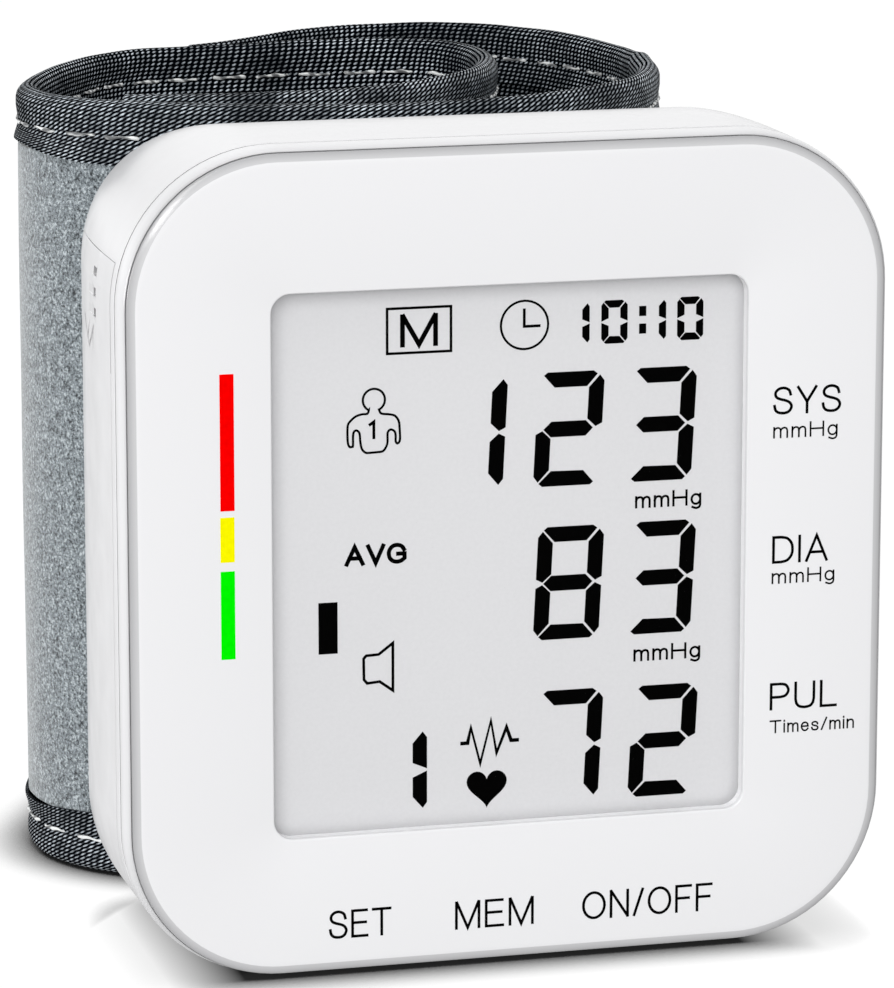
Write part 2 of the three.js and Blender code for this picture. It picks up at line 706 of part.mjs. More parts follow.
function makeRearCase() {
  const front = seamDepth + seamGap;
  const straight = caseDepth - backRoundDepth;
  const outer = caseLoft([[front, 0], ...backSections(0, 0)]);
  const cavity = caseLoft([[front - overrun, sideWall], ...backSections(sideWall, backWall)]);
  const rabbetInset = lipInset - screwGap;
  const rabbet = caseLoft([[front - overrun, rabbetInset], [seamDepth + lipDepth + screwGap, rabbetInset]]);
  const shell = cut(outer, cavity, rabbet);

  // Ledge behind the battery door, and the walls of the bay.
  const underDoor = doorWall + seamGap;
  const ledgeFront = seamDepth + lipDepth + 2 * screwGap;
  const sunk = [sideWall - overrun / 4, backWall - overrun / 4];
  const ledgeInset = underDoor + ledgeWall;
  const ledgeBand = cut(
    caseLoft([[ledgeFront, sunk[0]], ...backSections(...sunk)]),
    caseLoft([[ledgeFront - overrun, ledgeInset], ...backSections(ledgeInset, backWall + ledgeWall)])
  );
  const ledge = common(ledgeBand, box(
    -halfWidth, doorEdgeX + ledgeMargin, ledgeFront, caseDepth, 0, doorTop + ledgeMargin
  ));
  const intoBack = backInside + overrun / 2;
  const bayOuter = box(
    -halfWidth + underDoor, bayInnerX + bayWall, doorFront, intoBack,
    bayBottom - bayWall, bayTop + bayWall
  );
  const recessPad = plate(
    plateWidth + 2 * backWall, plateHeight + 2 * backWall, plateCorner,
    airX, middleZ, recessInside, intoBack
  );
  const bosses = screwPlaces.map(([x, z]) => rodY(
    rearBossRadius, x, z, frontBossEnd + contactGap, intoBack, fineSides
  ));
  const saddles = [
    saddle(pumpX, pumpDepth, motorRadius, motorBottom + motorLength / 4, backInside),
    saddle(pumpX, pumpDepth, motorRadius, motorBottom + motorLength * 3 / 4, backInside),
    saddle(airX, airDepth, valveRadius, valveBottom + valveHeight / 4, recessInside),
    saddle(airX, airDepth, valveRadius, valveBottom + valveHeight * 3 / 4, recessInside)
  ];
  const filled = join(bayOuter, recessPad, ...bosses, ...saddles);
  const insideParts = common(filled, caseLoft([[front, sunk[0]], ...backSections(...sunk)]));
  const underDoorSurface = caseLoft([
    [front, underDoor], [straight, underDoor], ...backSections(underDoor, underDoor)
  ]);
  const doorCut = cut(doorSpace(doorGap), underDoorSurface);
  const bay = box(-halfWidth - overrun, bayInnerX, bayFront, backInside, bayBottom, bayTop);
  const recess = plate(
    plateWidth + 2 * plateGap, plateHeight + 2 * plateGap, plateCorner,
    airX, middleZ, recessFloor, caseDepth + overrun
  );
  const screwHoles = screwPlaces.flatMap(([x, z]) => [
    rodY(screwRadius + screwGap, x, z, frontBossEnd, caseDepth),
    rodY(screwHeadRadius + screwGap, x, z, screwHeadDepth - contactGap, caseDepth + overrun)
  ]);
  const slots = hookPlaces().map(([x, z, side]) => box(
    x - hookWidth / 2 - hookClearance, x + hookWidth / 2 + hookClearance,
    recessInside - overrun, recessFloor + overrun,
    z - hookThickness / 2 - hookClearance - (side < 0 ? hookBarb : 0),
    z + hookThickness / 2 + hookClearance + (side > 0 ? hookBarb : 0)
  ));
  const portHole = rodY(
    tubeRadius + hookClearance, airX, portZ, recessInside - overrun, caseDepth + overrun
  );
  const holes = [doorCut, bay, recess, ...screwHoles, ...slots, portHole];
  addPiece('rear_case', cut(join(shell, ledge, insideParts), ...holes), materials.case);
}

function makeBatteryDoor() {
  const front = seamDepth + seamGap;
  const shell = cut(
    caseLoft([[front, 0], ...backSections(0, 0)]),
    caseLoft([[front - overrun, doorWall], ...backSections(doorWall, doorWall)])
  );
  const door = common(shell, doorSpace(0));
  const inner = -halfWidth + doorWall;
  const ribs = doorRibRises.map((rise) => box(
    inner - overrun / 4, cellX - cellRadius / 2, cellDepths[0], cellDepths[1],
    bayBottom + rise, bayBottom + rise + doorRibThickness
  ));
  const cells = cellDepths.map((depth) => rodZ(
    cellRadius + cellClearance, cellX, depth, bayBottom, bayTop, fineSides
  ));
  const grooves = [];
  for (let i = 0; i < gripGrooves; i += 1) {
    const z = gripTop - i * gripPitch;
    grooves.push(box(
      -halfWidth - overrun, -halfWidth + gripDepth, gripStart, gripStart + gripLength,
      z - gripHeight / 2, z + gripHeight / 2
    ));
  }
  const arrow = new THREE.Shape();
  arrow.moveTo(behind(gripStart), arrowTop);
  arrow.lineTo(behind(gripStart + gripLength), arrowTop);
  arrow.lineTo(behind(gripStart + gripLength / 2), arrowTop - arrowHeight);
  arrow.closePath();
  const arrowTool = new THREE.ExtrudeGeometry(arrow, { depth: gripDepth + overrun, bevelEnabled: false });
  arrowTool.rotateX(Math.PI / 2).rotateZ(Math.PI / 2).translate(-halfWidth - overrun, 0, 0);
  addPiece('battery_door', cut(join(door, ...ribs), ...cells, ...grooves, arrowTool), materials.case);
}

// Rings of points along a centre line, for a round wire or tube.
function tubeRings(centres, radius, sides) {
  const frames = [];
  let side = new THREE.Vector3(0, 0, 1);
  for (let i = 0; i < centres.length; i += 1) {
    const before = centres[Math.max(i - 1, 0)];
    const after = centres[Math.min(i + 1, centres.length - 1)];
    const along = after.clone().sub(before).normalize();
    if (i === 0 && Math.abs(along.dot(side)) > 0.9) {
      side = new THREE.Vector3(1, 0, 0);
    }
    side = side.clone().addScaledVector(along, -side.dot(along)).normalize();
    frames.push([centres[i], side, along.clone().cross(side)]);
  }
  return frames.map(([centre, u, v]) => Array.from({ length: sides }, (_, k) => {
    const angle = k / sides * 2 * Math.PI;
    const point = centre.clone().addScaledVector(u, radius * Math.cos(angle));
    return point.addScaledVector(v, radius * Math.sin(angle)).toArray();
  }));
}

// Coil spring on an upright axis, as one tube, with its least gap to itself measured and printed.
function coil(name, radius, wire, pitch, turns, x, depth, bottom) {
  const centres = [];
  const steps = turns * wireSteps;
  for (let i = 0; i <= steps; i += 1) {
    const angle = i / wireSteps * 2 * Math.PI;
    const z = bottom + wire + (pitch * turns - 2 * wire) * i / steps;
    const y = behind(depth) + radius * Math.sin(angle);
    centres.push(new THREE.Vector3(x + radius * Math.cos(angle), y, z));
  }
  let least = Infinity;
  for (let i = 0; i < centres.length; i += 1) {
    for (let j = i + wireSteps / 2; j < centres.length; j += 1) {
      least = Math.min(least, centres[i].distanceTo(centres[j]) - 2 * wire);
    }
  }
  console.log(`${name}: least gap between turns ${least.toFixed(2)} mm`);
  const ring = Array.from({ length: wireSides }, (_, k) => [
    Math.cos(k / wireSides * 2 * Math.PI), Math.sin(k / wireSides * 2 * Math.PI)
  ]);
  return skin(tubeRings(centres, wire, wireSides), capOf(ring));
}

function makeCells() {
  const springBottom = bayBottom + contactGap + contactThickness + contactGap;
  const lowNub = bayTop - contactGap - contactThickness - contactGap - batterySpringLength;
  const nubInset = 2 * contactGap + contactThickness;
  cellDepths.forEach((depth, i) => {
    const side = i === 0 ? 1 : -1;
    const nubEnd = i === 0 ? bayTop - nubInset : bayBottom + nubInset;
    const shoulder = nubEnd - side * cellNubHeight;
    const foot = nubEnd - side * cellLength;
    const sunk = shoulder - side * cellNubHeight;
    const can = [Math.min(shoulder, foot), Math.max(shoulder, foot)];
    const nub = [Math.min(nubEnd, sunk), Math.max(nubEnd, sunk)];
    addPiece(`cell_${i + 1}`, join(
      rodZ(cellRadius, cellX, depth, ...can, fineSides), rodZ(cellNubRadius, cellX, depth, ...nub)
    ), materials.cell);
  });
  addPiece('battery_spring_1', coil(
    'battery_spring_1', batterySpringRadius, batterySpringWire, batterySpringPitch, batterySpringTurns,
    cellX, cellDepths[0], springBottom - contactGap
  ), materials.steel);
  addPiece('battery_spring_2', coil(
    'battery_spring_2', batterySpringRadius, batterySpringWire, batterySpringPitch, batterySpringTurns,
    cellX, cellDepths[1], lowNub
  ), materials.steel);
  const half = contactWidth / 2;
  const low = bayBottom + contactGap / 2;
  const high = bayTop - contactGap / 2 - contactThickness;
  addPiece('contact_bridge', box(
    cellX - half, cellX + half, cellDepths[0] - half, cellDepths[1] + half, low, low + contactThickness
  ), materials.nickel);
  cellDepths.forEach((depth, i) => addPiece(`contact_plate_${i + 1}`, box(
    cellX - half, cellX + half, depth - half, depth + half, high, high + contactThickness
  ), materials.nickel));
}

function makeScrews() {
  screwPlaces.forEach(([x, z], i) => addPiece(`case_screw_${i + 1}`, join(
    rodY(screwRadius, x, z, screwTip, screwHeadDepth + screwHead / 2),
    rodY(screwHeadRadius, x, z, screwHeadDepth, screwHeadDepth + screwHead)
  ), materials.steel));
  const tip = boardDepth - boardScrewLength;
  const end = boardBack + boardScrewHead / 2;
  postPlaces.forEach(([x, z], i) => addPiece(`board_screw_${i + 1}`, join(
    rodY(boardScrewRadius, x, z, tip, end), rodY(boardScrewHead, x, z, boardBack + layerGap, end)
  ), materials.steel));
}

function makePump() {
  const motorTop = motorBottom + motorLength;
  const bushTop = motorTop + motorBushHeight;
  const can = join(
    rodZ(motorRadius, pumpX, pumpDepth, motorBottom, motorTop, fineSides),
    rodZ(motorBushRadius, pumpX, pumpDepth, motorTop - overrun, bushTop)
  );
  const shaftEnd = motorTop - motorShaftDepth;
  const bore = rodZ(motorShaftRadius + shaftClearance, pumpX, pumpDepth, shaftEnd, bushTop + overrun);
  addPiece('pump_motor', cut(can, bore), materials.steel);

  const crankBottom = motorTop + crankLift;
  const crankTop = crankBottom + crankThickness;
  const shaft = rodZ(
    motorShaftRadius, pumpX, pumpDepth, shaftEnd + stackGap, crankBottom + crankThickness / 2
  );
  const crank = rodZ(crankRadius, pumpX + crankOffset, pumpDepth, crankBottom, crankTop, fineSides);
  addPiece('pump_shaft', join(shaft, crank), materials.nickel);

  const headBottom = motorTop + stackGap;
  const headTop = headBottom + headHeight;
  const cups = [0, 1, 2].map((i) => {
    const angle = i * 2 * Math.PI / 3;
    return [pumpX + cupOrbit * Math.cos(angle), pumpDepth + cupOrbit * Math.sin(angle)];
  });
  const headHoles = cups.map(([x, depth]) => rodZ(
    cupRadius + cupClearance, x, depth, headBottom, headTop + overrun
  ));
  const cavityTop = headBottom + headCavityHeight;
  addPiece('pump_head', cut(
    block(headSize, headCorner, pumpX, pumpDepth, headBottom, headTop),
    rodZ(headCavityRadius, pumpX, pumpDepth, headBottom - overrun, cavityTop, fineSides),
    ...headHoles
  ), materials.nylon);

  const sheetBottom = headTop + layerGap;
  const sheetTop = sheetBottom + diaphragmThickness;
  const cupSolids = cups.map(([x, depth]) => rodZ(
    cupRadius, x, depth, headTop - cupDrop, sheetBottom + diaphragmThickness / 2
  ));
  addPiece('pump_diaphragm', join(
    block(headSize - headCorner / 4, headCorner, pumpX, pumpDepth, sheetBottom, sheetTop), ...cupSolids
  ), materials.rubber);

  const coverBottom = sheetTop + layerGap;
  const coverTop = coverBottom + coverHeight;
  addPiece('pump_cover', join(
    block(headSize, headCorner, pumpX, pumpDepth, coverBottom, coverBottom + coverHeight / 2),
    rodZ(headCavityRadius, pumpX, pumpDepth, coverBottom, coverTop, fineSides),
    rodZ(nozzleRadius, pumpX, pumpDepth, coverTop - overrun, coverTop + nozzleLength)
  ), materials.nylon);
  return coverTop;
}

function makeValve() {
  const top = valveBottom + valveHeight;
  const boreBottom = valveBottom + valveWall;
  const body = join(
    rodZ(valveRadius, airX, airDepth, valveBottom, top, fineSides),
    rodZ(nozzleRadius, airX, airDepth, valveBottom - nozzleLength, valveBottom + valveWall / 2)
  );
  const boreTop = boreBottom + valveBoreHeight;
  const bore = rodZ(valveBore, airX, airDepth, boreBottom, boreTop, fineSides);
  const ventZ = boreTop - nozzleRadius - layerGap;
  const vent = rodY(nozzleRadius, airX, ventZ, airDepth, airDepth + valveRadius + overrun);
  addPiece('valve_body', cut(body, bore, vent), materials.steel);
  const plungerBottom = boreBottom + stackGap;
  const plungerTop = plungerBottom + plungerHeight;
  const plunger = rodZ(plungerRadius, airX, airDepth, plungerBottom, plungerTop);
  addPiece('valve_plunger', plunger, materials.nickel);
  addPiece('valve_spring', coil(
    'valve_spring', valveSpringRadius, valveSpringWire, valveSpringPitch, valveSpringTurns,
    airX, airDepth, plungerTop + layerGap
  ), materials.steel);
}

// Soft air tube along points, as a ring section swept along a smooth curve.
function airTube(name, points) {
  const section = new THREE.Shape();
  section.absarc(0, 0, tubeRadius, 0, 2 * Math.PI);
  const hole = new THREE.Path();
  hole.absarc(0, 0, tubeBore, 0, 2 * Math.PI, true);
  section.holes.push(hole);
  const path = new THREE.CatmullRomCurve3(
    points.map(([x, depth, z]) => new THREE.Vector3(x, behind(depth), z))
  );
  addPiece(name, new THREE.ExtrudeGeometry(section, {
    steps: tubeSteps, extrudePath: path, curveSegments: tubeSides / 2
  }), materials.tube);
}

function makeAirPath(pumpCoverTop) {
  const half = manifoldHeight / 2;
  const reach = manifoldRadius + nozzleLength;
  addPiece('air_manifold', join(
    rodZ(manifoldRadius, airX, airDepth, manifoldZ - half, manifoldZ + half),
    rodZ(nozzleRadius, airX, airDepth, manifoldZ - half - nozzleLength, manifoldZ + half + nozzleLength),
    rodX(nozzleRadius, airDepth, manifoldZ, airX - reach, airX + reach)
  ), materials.nylon);

  const nozzleTop = manifoldZ + half + nozzleLength;
  const valveNozzle = valveBottom - nozzleLength;
  airTube('air_tube_valve', [
    [airX, airDepth, nozzleTop - tubeLap],
    [airX, airDepth, (nozzleTop + valveNozzle) / 2],
    [airX, airDepth, valveNozzle + tubeLap]
  ]);
  const sensorTip = boardBack + layerGap + sensorHeight + sensorNozzle;
  airTube('air_tube_sensor', [
    [sensorX, sensorTip - tubeLap, manifoldZ],
    [sensorX, sensorTip + tubeBore / 2, manifoldZ],
    [sensorX + tubeRadius / 2, airDepth - tubeRadius / 2, manifoldZ],
    [airX - reach - tubeBore, airDepth, manifoldZ],
    [airX - reach + tubeLap, airDepth, manifoldZ]
  ]);
  const pumpTip = pumpCoverTop + nozzleLength;
  const downX = (airX + valveRadius + pumpX - headSize / 2) / 2;
  airTube('air_tube_pump', [
    [pumpX, pumpDepth, pumpTip - tubeLap],
    [pumpX, pumpDepth, pumpTip + tubeBore],
    [(pumpX + downX) / 2, pumpDepth, pumpTip + pumpTubeArch],
    [downX, pumpDepth, pumpTip + tubeBore],
    [downX, airDepth, (pumpTip + manifoldZ) / 2],
    [downX, airDepth, manifoldZ + 2 * tubeRadius],
    [airX + reach + tubeBore, airDepth, manifoldZ],
    [airX + reach - tubeLap, airDepth, manifoldZ]
  ]);
  const manifoldTip = manifoldZ - half - nozzleLength;
  const portTip = caseDepth - portReach;
  airTube('air_tube_cuff', [
    [airX, portTip + tubeLap, portZ],
    [airX, portTip - tubeBore, portZ],
    [airX, airDepth + tubeRadius / 4, portZ + tubeRadius],
    [airX, airDepth, manifoldTip - tubeBore],
    [airX, airDepth, manifoldTip + tubeLap]
  ]);
}

function makeCuffPlate() {
  const front = recessFloor + layerGap;
  const back = front + plateThickness;
  const body = plate(plateWidth, plateHeight, plateCorner, airX, middleZ, front, back);
  const hooks = hookPlaces().map(([x, z, side]) => {
    const neckFront = recessInside - hookLength;
    const wide = [x - hookWidth / 2, x + hookWidth / 2];
    const neck = box(
      ...wide, neckFront, front + plateThickness / 2, z - hookThickness / 2, z + hookThickness / 2
    );
    const tip = z + side * (hookThickness / 2 + hookBarb);
    const barbEnd = recessInside - contactGap;
    return join(neck, box(...wide, neckFront, barbEnd, Math.min(z, tip), Math.max(z, tip)));
  });
  const portHole = rodY(portRadius + hookClearance, airX, portZ, front - overrun, back + overrun);
  addPiece('cuff_plate', cut(join(body, ...hooks), portHole), materials.nylon);
}

// Points and outward directions along a path given in shares of the roll's size. The steps follow the
// path's points, so they are short in a tight bend.
function cuffPath(shares, steps) {
  const points = shares.map(([x, y]) => new THREE.Vector3(
    rollLeft + x * rollWidth, behind(rollFront + y * rollDepth), 0
  ));
  const curve = new THREE.CatmullRomCurve3(points, false, 'centripetal');
  const places = [];
  for (let i = 0; i <= steps; i += 1) {
    const point = curve.getPoint(i / steps);
    const along = curve.getTangent(i / steps);
    places.push({ x: point.x, y: point.y, outX: along.y, outY: -along.x });
  }
  return places;
}

// A band along a path: its section is drawn in distance outwards and in height.
function band(places, section) {
  const rings = places.map((place) => section.map(([out, z]) => [
    place.x + place.outX * out, place.y + place.outY * out, z
  ]));
  return skin(rings, capOf(section));
}

// Flat layer between two distances and two heights.
function layerSection(near, far, z0, z1) {
  return [[near, z0], [far, z0], [far, z1], [near, z1]];
}

// Folded binding over an edge, opening down or up. It is widest at its free edges and drawn in from
// its seam to the rounded fold.
function hemSection(half, flare, edge, direction) {
  const at = (down) => edge - direction * down;
  const side = [
    [half + flare, at(hemHeight)], [half, at(hemStitch)], [half, at(hemRound)], [half * Math.SQRT1_2, at(0)]
  ];
  const inner = [[half - hemCloth, at(2 * hemCloth)], [half + flare - hemCloth, at(hemHeight)]];
  const mirrored = (points) => points.map(([out, z]) => [-out, z]).reverse();
  return [...side, ...mirrored(side), ...mirrored(inner), ...inner];
}

function makeCuff() {
  const path = cuffPath(cuffPathShares, cuffSteps);
  const bottom = hemHeight - hemLap;
  const top = cuffHeight - bottom;
  const portHole = rodY(portRadius + hookClearance, airX, portZ, caseDepth, rollFront);
  const outer = band(path, layerSection(bandHalf - outerFabric, bandHalf, bottom, top));
  addPiece('cuff_outer_fabric', cut(outer, portHole), materials.loop);
  const inner = band(path, layerSection(-bandHalf, -bandHalf + lining, bottom, top));
  addPiece('cuff_lining', inner, materials.weave);

  const first = Math.round(bladderStartShare * cuffSteps);
  const last = Math.round(bladderEndShare * cuffSteps);
  const low = bladderMargin;
  const high = cuffHeight - bladderMargin;
  const bag = band(path.slice(first, last + 1), [
    [layerGap, low], [bladderHalf, low + bladderEdge], [bladderHalf, high - bladderEdge],
    [layerGap, high], [-layerGap, high], [-bladderHalf, high - bladderEdge],
    [-bladderHalf, low + bladderEdge], [-layerGap, low]
  ]);
  const portTip = caseDepth - portReach;
  const port = rodY(portRadius, airX, portZ, portTip, rollFront);
  const passage = rodY(portBore, airX, portZ, portTip - overrun, rollFront - bladderHalf);
  addPiece('cuff_bladder', cut(join(bag, port), passage), materials.bladder);
  addPiece('cuff_binding_top', band(path, hemSection(hemHalf, hemFlare, cuffHeight, 1)), materials.weave);
  addPiece('cuff_binding_bottom', band(path, hemSection(hemHalf, hemFlare, 0, -1)), materials.weave);
}

function makeTail() {
  const whole = cuffPath(tailPathShares, tailSteps);
  const lengthStep = Math.hypot(whole[1].x - whole[0].x, whole[1].y - whole[0].y);
  const start = { ...whole[0] };
  start.x += (whole[1].x - whole[0].x) * tailSplit / lengthStep;
  start.y += (whole[1].y - whole[0].y) * tailSplit / lengthStep;
  const path = [start, ...whole.slice(1)];
  const bottom = tailLift + hemHeight - hemLap;
  const top = tailLift + tailHeight - hemHeight + hemLap;
  const layers = {
    outer_fabric: [layerSection(tailHalf - outerFabric, tailHalf, bottom, top), materials.loop],
    lining: [layerSection(-tailHalf, -tailHalf + lining, bottom, top), materials.weave],
    binding_top: [hemSection(tailHemHalf, tailHemFlare, tailLift + tailHeight, 1), materials.weave],
    binding_bottom: [hemSection(tailHemHalf, tailHemFlare, tailLift, -1), materials.weave]
  };
  Object.entries(layers).forEach(([name, [section, cloth]]) => {
    addPiece(`tail_${name}`, band(path, section), cloth);
  });
  const patchPath = path.slice(Math.round((1 - hookPatchLengthShare) * tailSteps), -1);
  const patchFace = -tailHalf - layerGap;
  addPiece('hook_patch', band(patchPath, layerSection(
    patchFace - hookPatchThickness, patchFace, hookPatchMargin, cuffHeight - hookPatchMargin
  )), materials.chip);
}

makeFacePanel();
makeFrontCase();
makeDisplay();
makeBoard();
makeKeys();
makeRearCase();
makeBatteryDoor();
makeCells();
makeScrews();
const coverTop = makePump();
makeValve();
makeAirPath(coverTop);
makeCuffPlate();
makeCuff();
makeTail();

export default monitor;
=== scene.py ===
# %% [markdown]
# A wrist blood pressure monitor stands on a pale floor with its cuff rolled up behind it.
# The CAD model gives every place and size. Blender adds what the eye meets first: moulded shells
# with soft edges, a printed face, a liquid crystal display, and the cloth of the cuff.
# The frame has to be loaded before anything else, because all later pieces are placed by it.

# %% Load the frame
import math
import bmesh
import bpy
import numpy as np
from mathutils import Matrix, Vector


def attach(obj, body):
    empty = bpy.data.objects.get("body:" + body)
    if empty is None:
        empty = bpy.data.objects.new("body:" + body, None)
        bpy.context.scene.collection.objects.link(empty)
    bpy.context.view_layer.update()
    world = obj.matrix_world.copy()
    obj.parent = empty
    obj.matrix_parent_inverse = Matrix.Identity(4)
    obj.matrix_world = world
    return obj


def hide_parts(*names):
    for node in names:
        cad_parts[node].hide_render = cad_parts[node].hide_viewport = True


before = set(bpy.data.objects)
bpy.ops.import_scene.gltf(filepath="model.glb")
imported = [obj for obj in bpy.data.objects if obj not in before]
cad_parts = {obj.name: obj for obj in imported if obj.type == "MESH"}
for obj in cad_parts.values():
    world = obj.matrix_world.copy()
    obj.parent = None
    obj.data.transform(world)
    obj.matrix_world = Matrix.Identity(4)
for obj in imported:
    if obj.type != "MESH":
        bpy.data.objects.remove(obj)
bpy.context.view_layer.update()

MM = 0.001

# %% [markdown]
# The camera comes first, because it decides how much detail each surface needs.
# It could be placed by eye, but a camera solved from known proportions gives the same perspective
# as the picture: here the case is seen a little from the left and from above with a long lens.

# %% Camera
STAND_DEPTH = 10.55  # mm from the flat face back to the frame's origin
EYE = (-131.4, -470.8 - STAND_DEPTH, 150.0)
VIEW_DIRECTION = (0.25101, 0.94540, -0.20786)
LENS = 192.35

camera_data = bpy.data.cameras.new("camera")
camera_data.lens = LENS
camera_data.sensor_width = 36
camera = bpy.data.objects.new("camera", camera_data)
bpy.context.scene.collection.objects.link(camera)
camera.location = [v * MM for v in EYE]
camera.rotation_euler = Vector(VIEW_DIRECTION).to_track_quat("-Z", "Y").to_euler()
bpy.context.scene.camera = camera
print("camera at", [round(v, 4) for v in camera.location])

# %% [markdown]
# Materials and the room are built from nodes. A tiny helper keeps each recipe readable: it adds a
# node, sets its inputs from numbers or from other nodes, and returns one of its outputs. Without it
# every noise or bump would take five lines.

# %% Node helper
def grey(level):
    return (level, level, level)


class Nodes:
    def __init__(self, tree):
        self.tree = tree

    def plug(self, socket, value):
        if isinstance(value, bpy.types.NodeSocket):
            self.tree.links.new(value, socket)
        else:
            socket.default_value = value

    def node(self, kind, inputs=(), output=0, **settings):
        node = self.tree.nodes.new("ShaderNode" + kind)
        for key, value in settings.items():
            setattr(node, key, value)
        for key, value in dict(inputs).items():
            self.plug(node.inputs[key], value)
        return node.outputs[output]

    def split(self, vector):
        """The X, Y and Z of a vector."""
        return self.node("SeparateXYZ", {0: vector}).node.outputs

    def math(self, operation, a, b=0.0, clamp=False):
        return self.node("Math", {0: a, 1: b}, operation=operation, use_clamp=clamp)

    def seen(self, *kinds):
        """1 for rays of any of these kinds, 0 for the others."""
        found = 0.0
        for kind in kinds:
            found = self.math("MAXIMUM", found, self.node("LightPath", output=f"Is {kind} Ray"))
        return found

    def place(self):
        return self.node("TexCoord", output="Object")

    def noise(self, scale, detail=2.0, roughness=0.5, vector=None):
        return self.node("TexNoise", {"Vector": vector or self.place(), "Scale": scale, "Detail": detail,
                                      "Roughness": roughness})

    def ramp(self, fac, *stops):
        node = self.tree.nodes.new("ShaderNodeValToRGB")
        self.plug(node.inputs[0], fac)
        steps = node.color_ramp.elements
        while len(steps) < len(stops):
            steps.new(0.5)
        for step, (where, color) in zip(steps, stops):
            step.position = where
            step.color = (*color, 1)
        return node.outputs[0]

    def spread(self, fac, low, high, to_low, to_high):
        return self.node("MapRange", {"Value": fac, "From Min": low, "From Max": high, "To Min": to_low,
                                      "To Max": to_high})


class Recipe(Nodes):
    def __init__(self, name, color, roughness, **shader):
        self.material = bpy.data.materials.new(name)
        self.material.use_nodes = True
        super().__init__(self.material.node_tree)
        self.shader = self.tree.nodes["Principled BSDF"]
        self.material.diffuse_color = (*color, 1)
        self.set("Base Color", (*color, 1))
        self.set("Roughness", roughness)
        for key, value in shader.items():
            self.set(key.replace("_", " "), value)

    def set(self, socket, value):
        self.plug(self.shader.inputs[socket], value)

    def bump(self, height, distance, strength=1.0):
        """distance in metres."""
        self.set("Normal", self.node("Bump", {"Height": height, "Strength": strength, "Distance": distance}))


print("recipe helper ready")

# %% [markdown]
# The object stands in a bright white studio. White could come from very strong lamps, but then the
# white plastic would lose its shape. So the lamps stay at a plain level, and only the camera and
# mirror-like rays see a pure white room.

# %% Studio
scene = bpy.context.scene
scene.view_settings.view_transform = "Standard"


def lamp(name, place, target, size, power):
    data = bpy.data.lights.new(name, "AREA")
    data.size = size
    data.energy = power
    found = bpy.data.objects.new(name, data)
    scene.collection.objects.link(found)
    found.location = place
    found.rotation_euler = (Vector(target) - Vector(place)).to_track_quat("-Z", "Y").to_euler()


lamp("top_softbox", (0.05, -0.05, 0.75), (0, 0.02, 0.04), 0.7, 1.6)
lamp("front_softbox", (-0.36, -0.76, 0.4), (0, 0, 0.04), 0.5, 3.5)
lamp("left_softbox", (-0.8, 0.02, 0.04), (0, 0.03, 0.04), 0.4, 3.9)
lamp("eye_lamp", (-0.145, -0.51, 0.165), (0, 0, 0.04), 0.09, 0.25)

ROOM_LIGHT = 0.5
world = bpy.data.worlds.new("studio")
scene.world = world
world.use_nodes = True
room = Nodes(world.node_tree)
background = world.node_tree.nodes["Background"]
room.plug(background.inputs["Strength"],
          room.spread(room.seen("Camera", "Transmission", "Glossy"), 0, 1, ROOM_LIGHT, 1))
background.inputs["Color"].default_value = (1, 1, 1, 1)

# %% [markdown]
# The case is injection-moulded white plastic with a polished skin. A plain white shader would look
# like paper, so the recipe has a faint tone drift, a very shallow orange-peel bump and a roughness
# that changes a little from place to place, as real moulded gloss does. The case also takes painted
# shade that is stored at the points and faces of its mesh: darker seams, grooves and front lip, and a
# greyer upper left corner.

# %% Plastics
def moulded(name, color, roughness, peel=4e-6, drift=0.03, shaded=False):
    made = Recipe(name, color, roughness)
    dark = tuple(c * (1 - drift) for c in color)
    tone = made.ramp(made.noise(28, 3), (0.3, dark), (0.7, color))
    # painted shade, stored at points (shade) and on faces (cut)
    for stored in ("shade", "cut") if shaded else ():
        value = made.node("Attribute", output="Fac", attribute_name=stored)
        tone = made.node("VectorMath", {0: tone, 1: value}, operation="MULTIPLY")
    made.set("Base Color", tone)
    made.set("Roughness", made.spread(made.noise(190, 2), 0.3, 0.7, roughness * 0.85, roughness * 1.2))
    made.bump(made.noise(900, 2), peel)
    return made


WHITE = (0.87, 0.87, 0.885)
case_white = moulded("case_white", WHITE, 0.22, shaded=True)
inner_nylon = moulded("inner_nylon", (0.68, 0.69, 0.7), 0.45, peel=1e-5)
black_mould = moulded("black_mould", (0.02, 0.02, 0.022), 0.42, peel=1e-5, drift=0.3)
key_plastic = moulded("key_plastic", (0.6, 0.61, 0.63), 0.4, peel=1e-5)
strip_rubber = moulded("strip_rubber", (0.12, 0.125, 0.13), 0.7, peel=1e-5, drift=0.2)
black_rubber = moulded("black_rubber", (0.03, 0.03, 0.032), 0.65, peel=1e-5, drift=0.2)
silicone = moulded("silicone", (0.72, 0.72, 0.69), 0.35, peel=5e-6)
print("plastics", [m.name for m in bpy.data.materials if m.use_nodes])

# %% [markdown]
# The printed face is the same plastic under a clear lacquer. Its rim slopes away from the eye and
# reads as a soft grey band, so that shade is painted into the material from a value stored at each
# point of the mesh: 1 on the flat face, lower on the slope and on the window's wall. A stored value
# follows the shape exactly, which a painted mask would not.

# %% Face finish
FACE_TONE = (0.9, 0.9, 0.915)
face_white = Recipe("face_white", FACE_TONE, 0.16)
shade = face_white.node("Attribute", output="Fac", attribute_name="shade")
face_white.set("Base Color", face_white.ramp(shade, (0.0, (0.08, 0.08, 0.085)), (1.0, FACE_TONE)))
face_white.set("Roughness", face_white.spread(face_white.noise(150), 0.3, 0.7, 0.13, 0.2))
face_white.bump(face_white.noise(700, 1), 2e-6)
print("face finish reads the stored value 'shade'")

# %% [markdown]
# Metals inside the case: brushed steel for the motor and screws, bright nickel for the contacts.
# Fine stretched noise gives the brushing. The cells have a two-tone sleeve that changes at a
# height, and the board has a green lacquer with faint tracks.

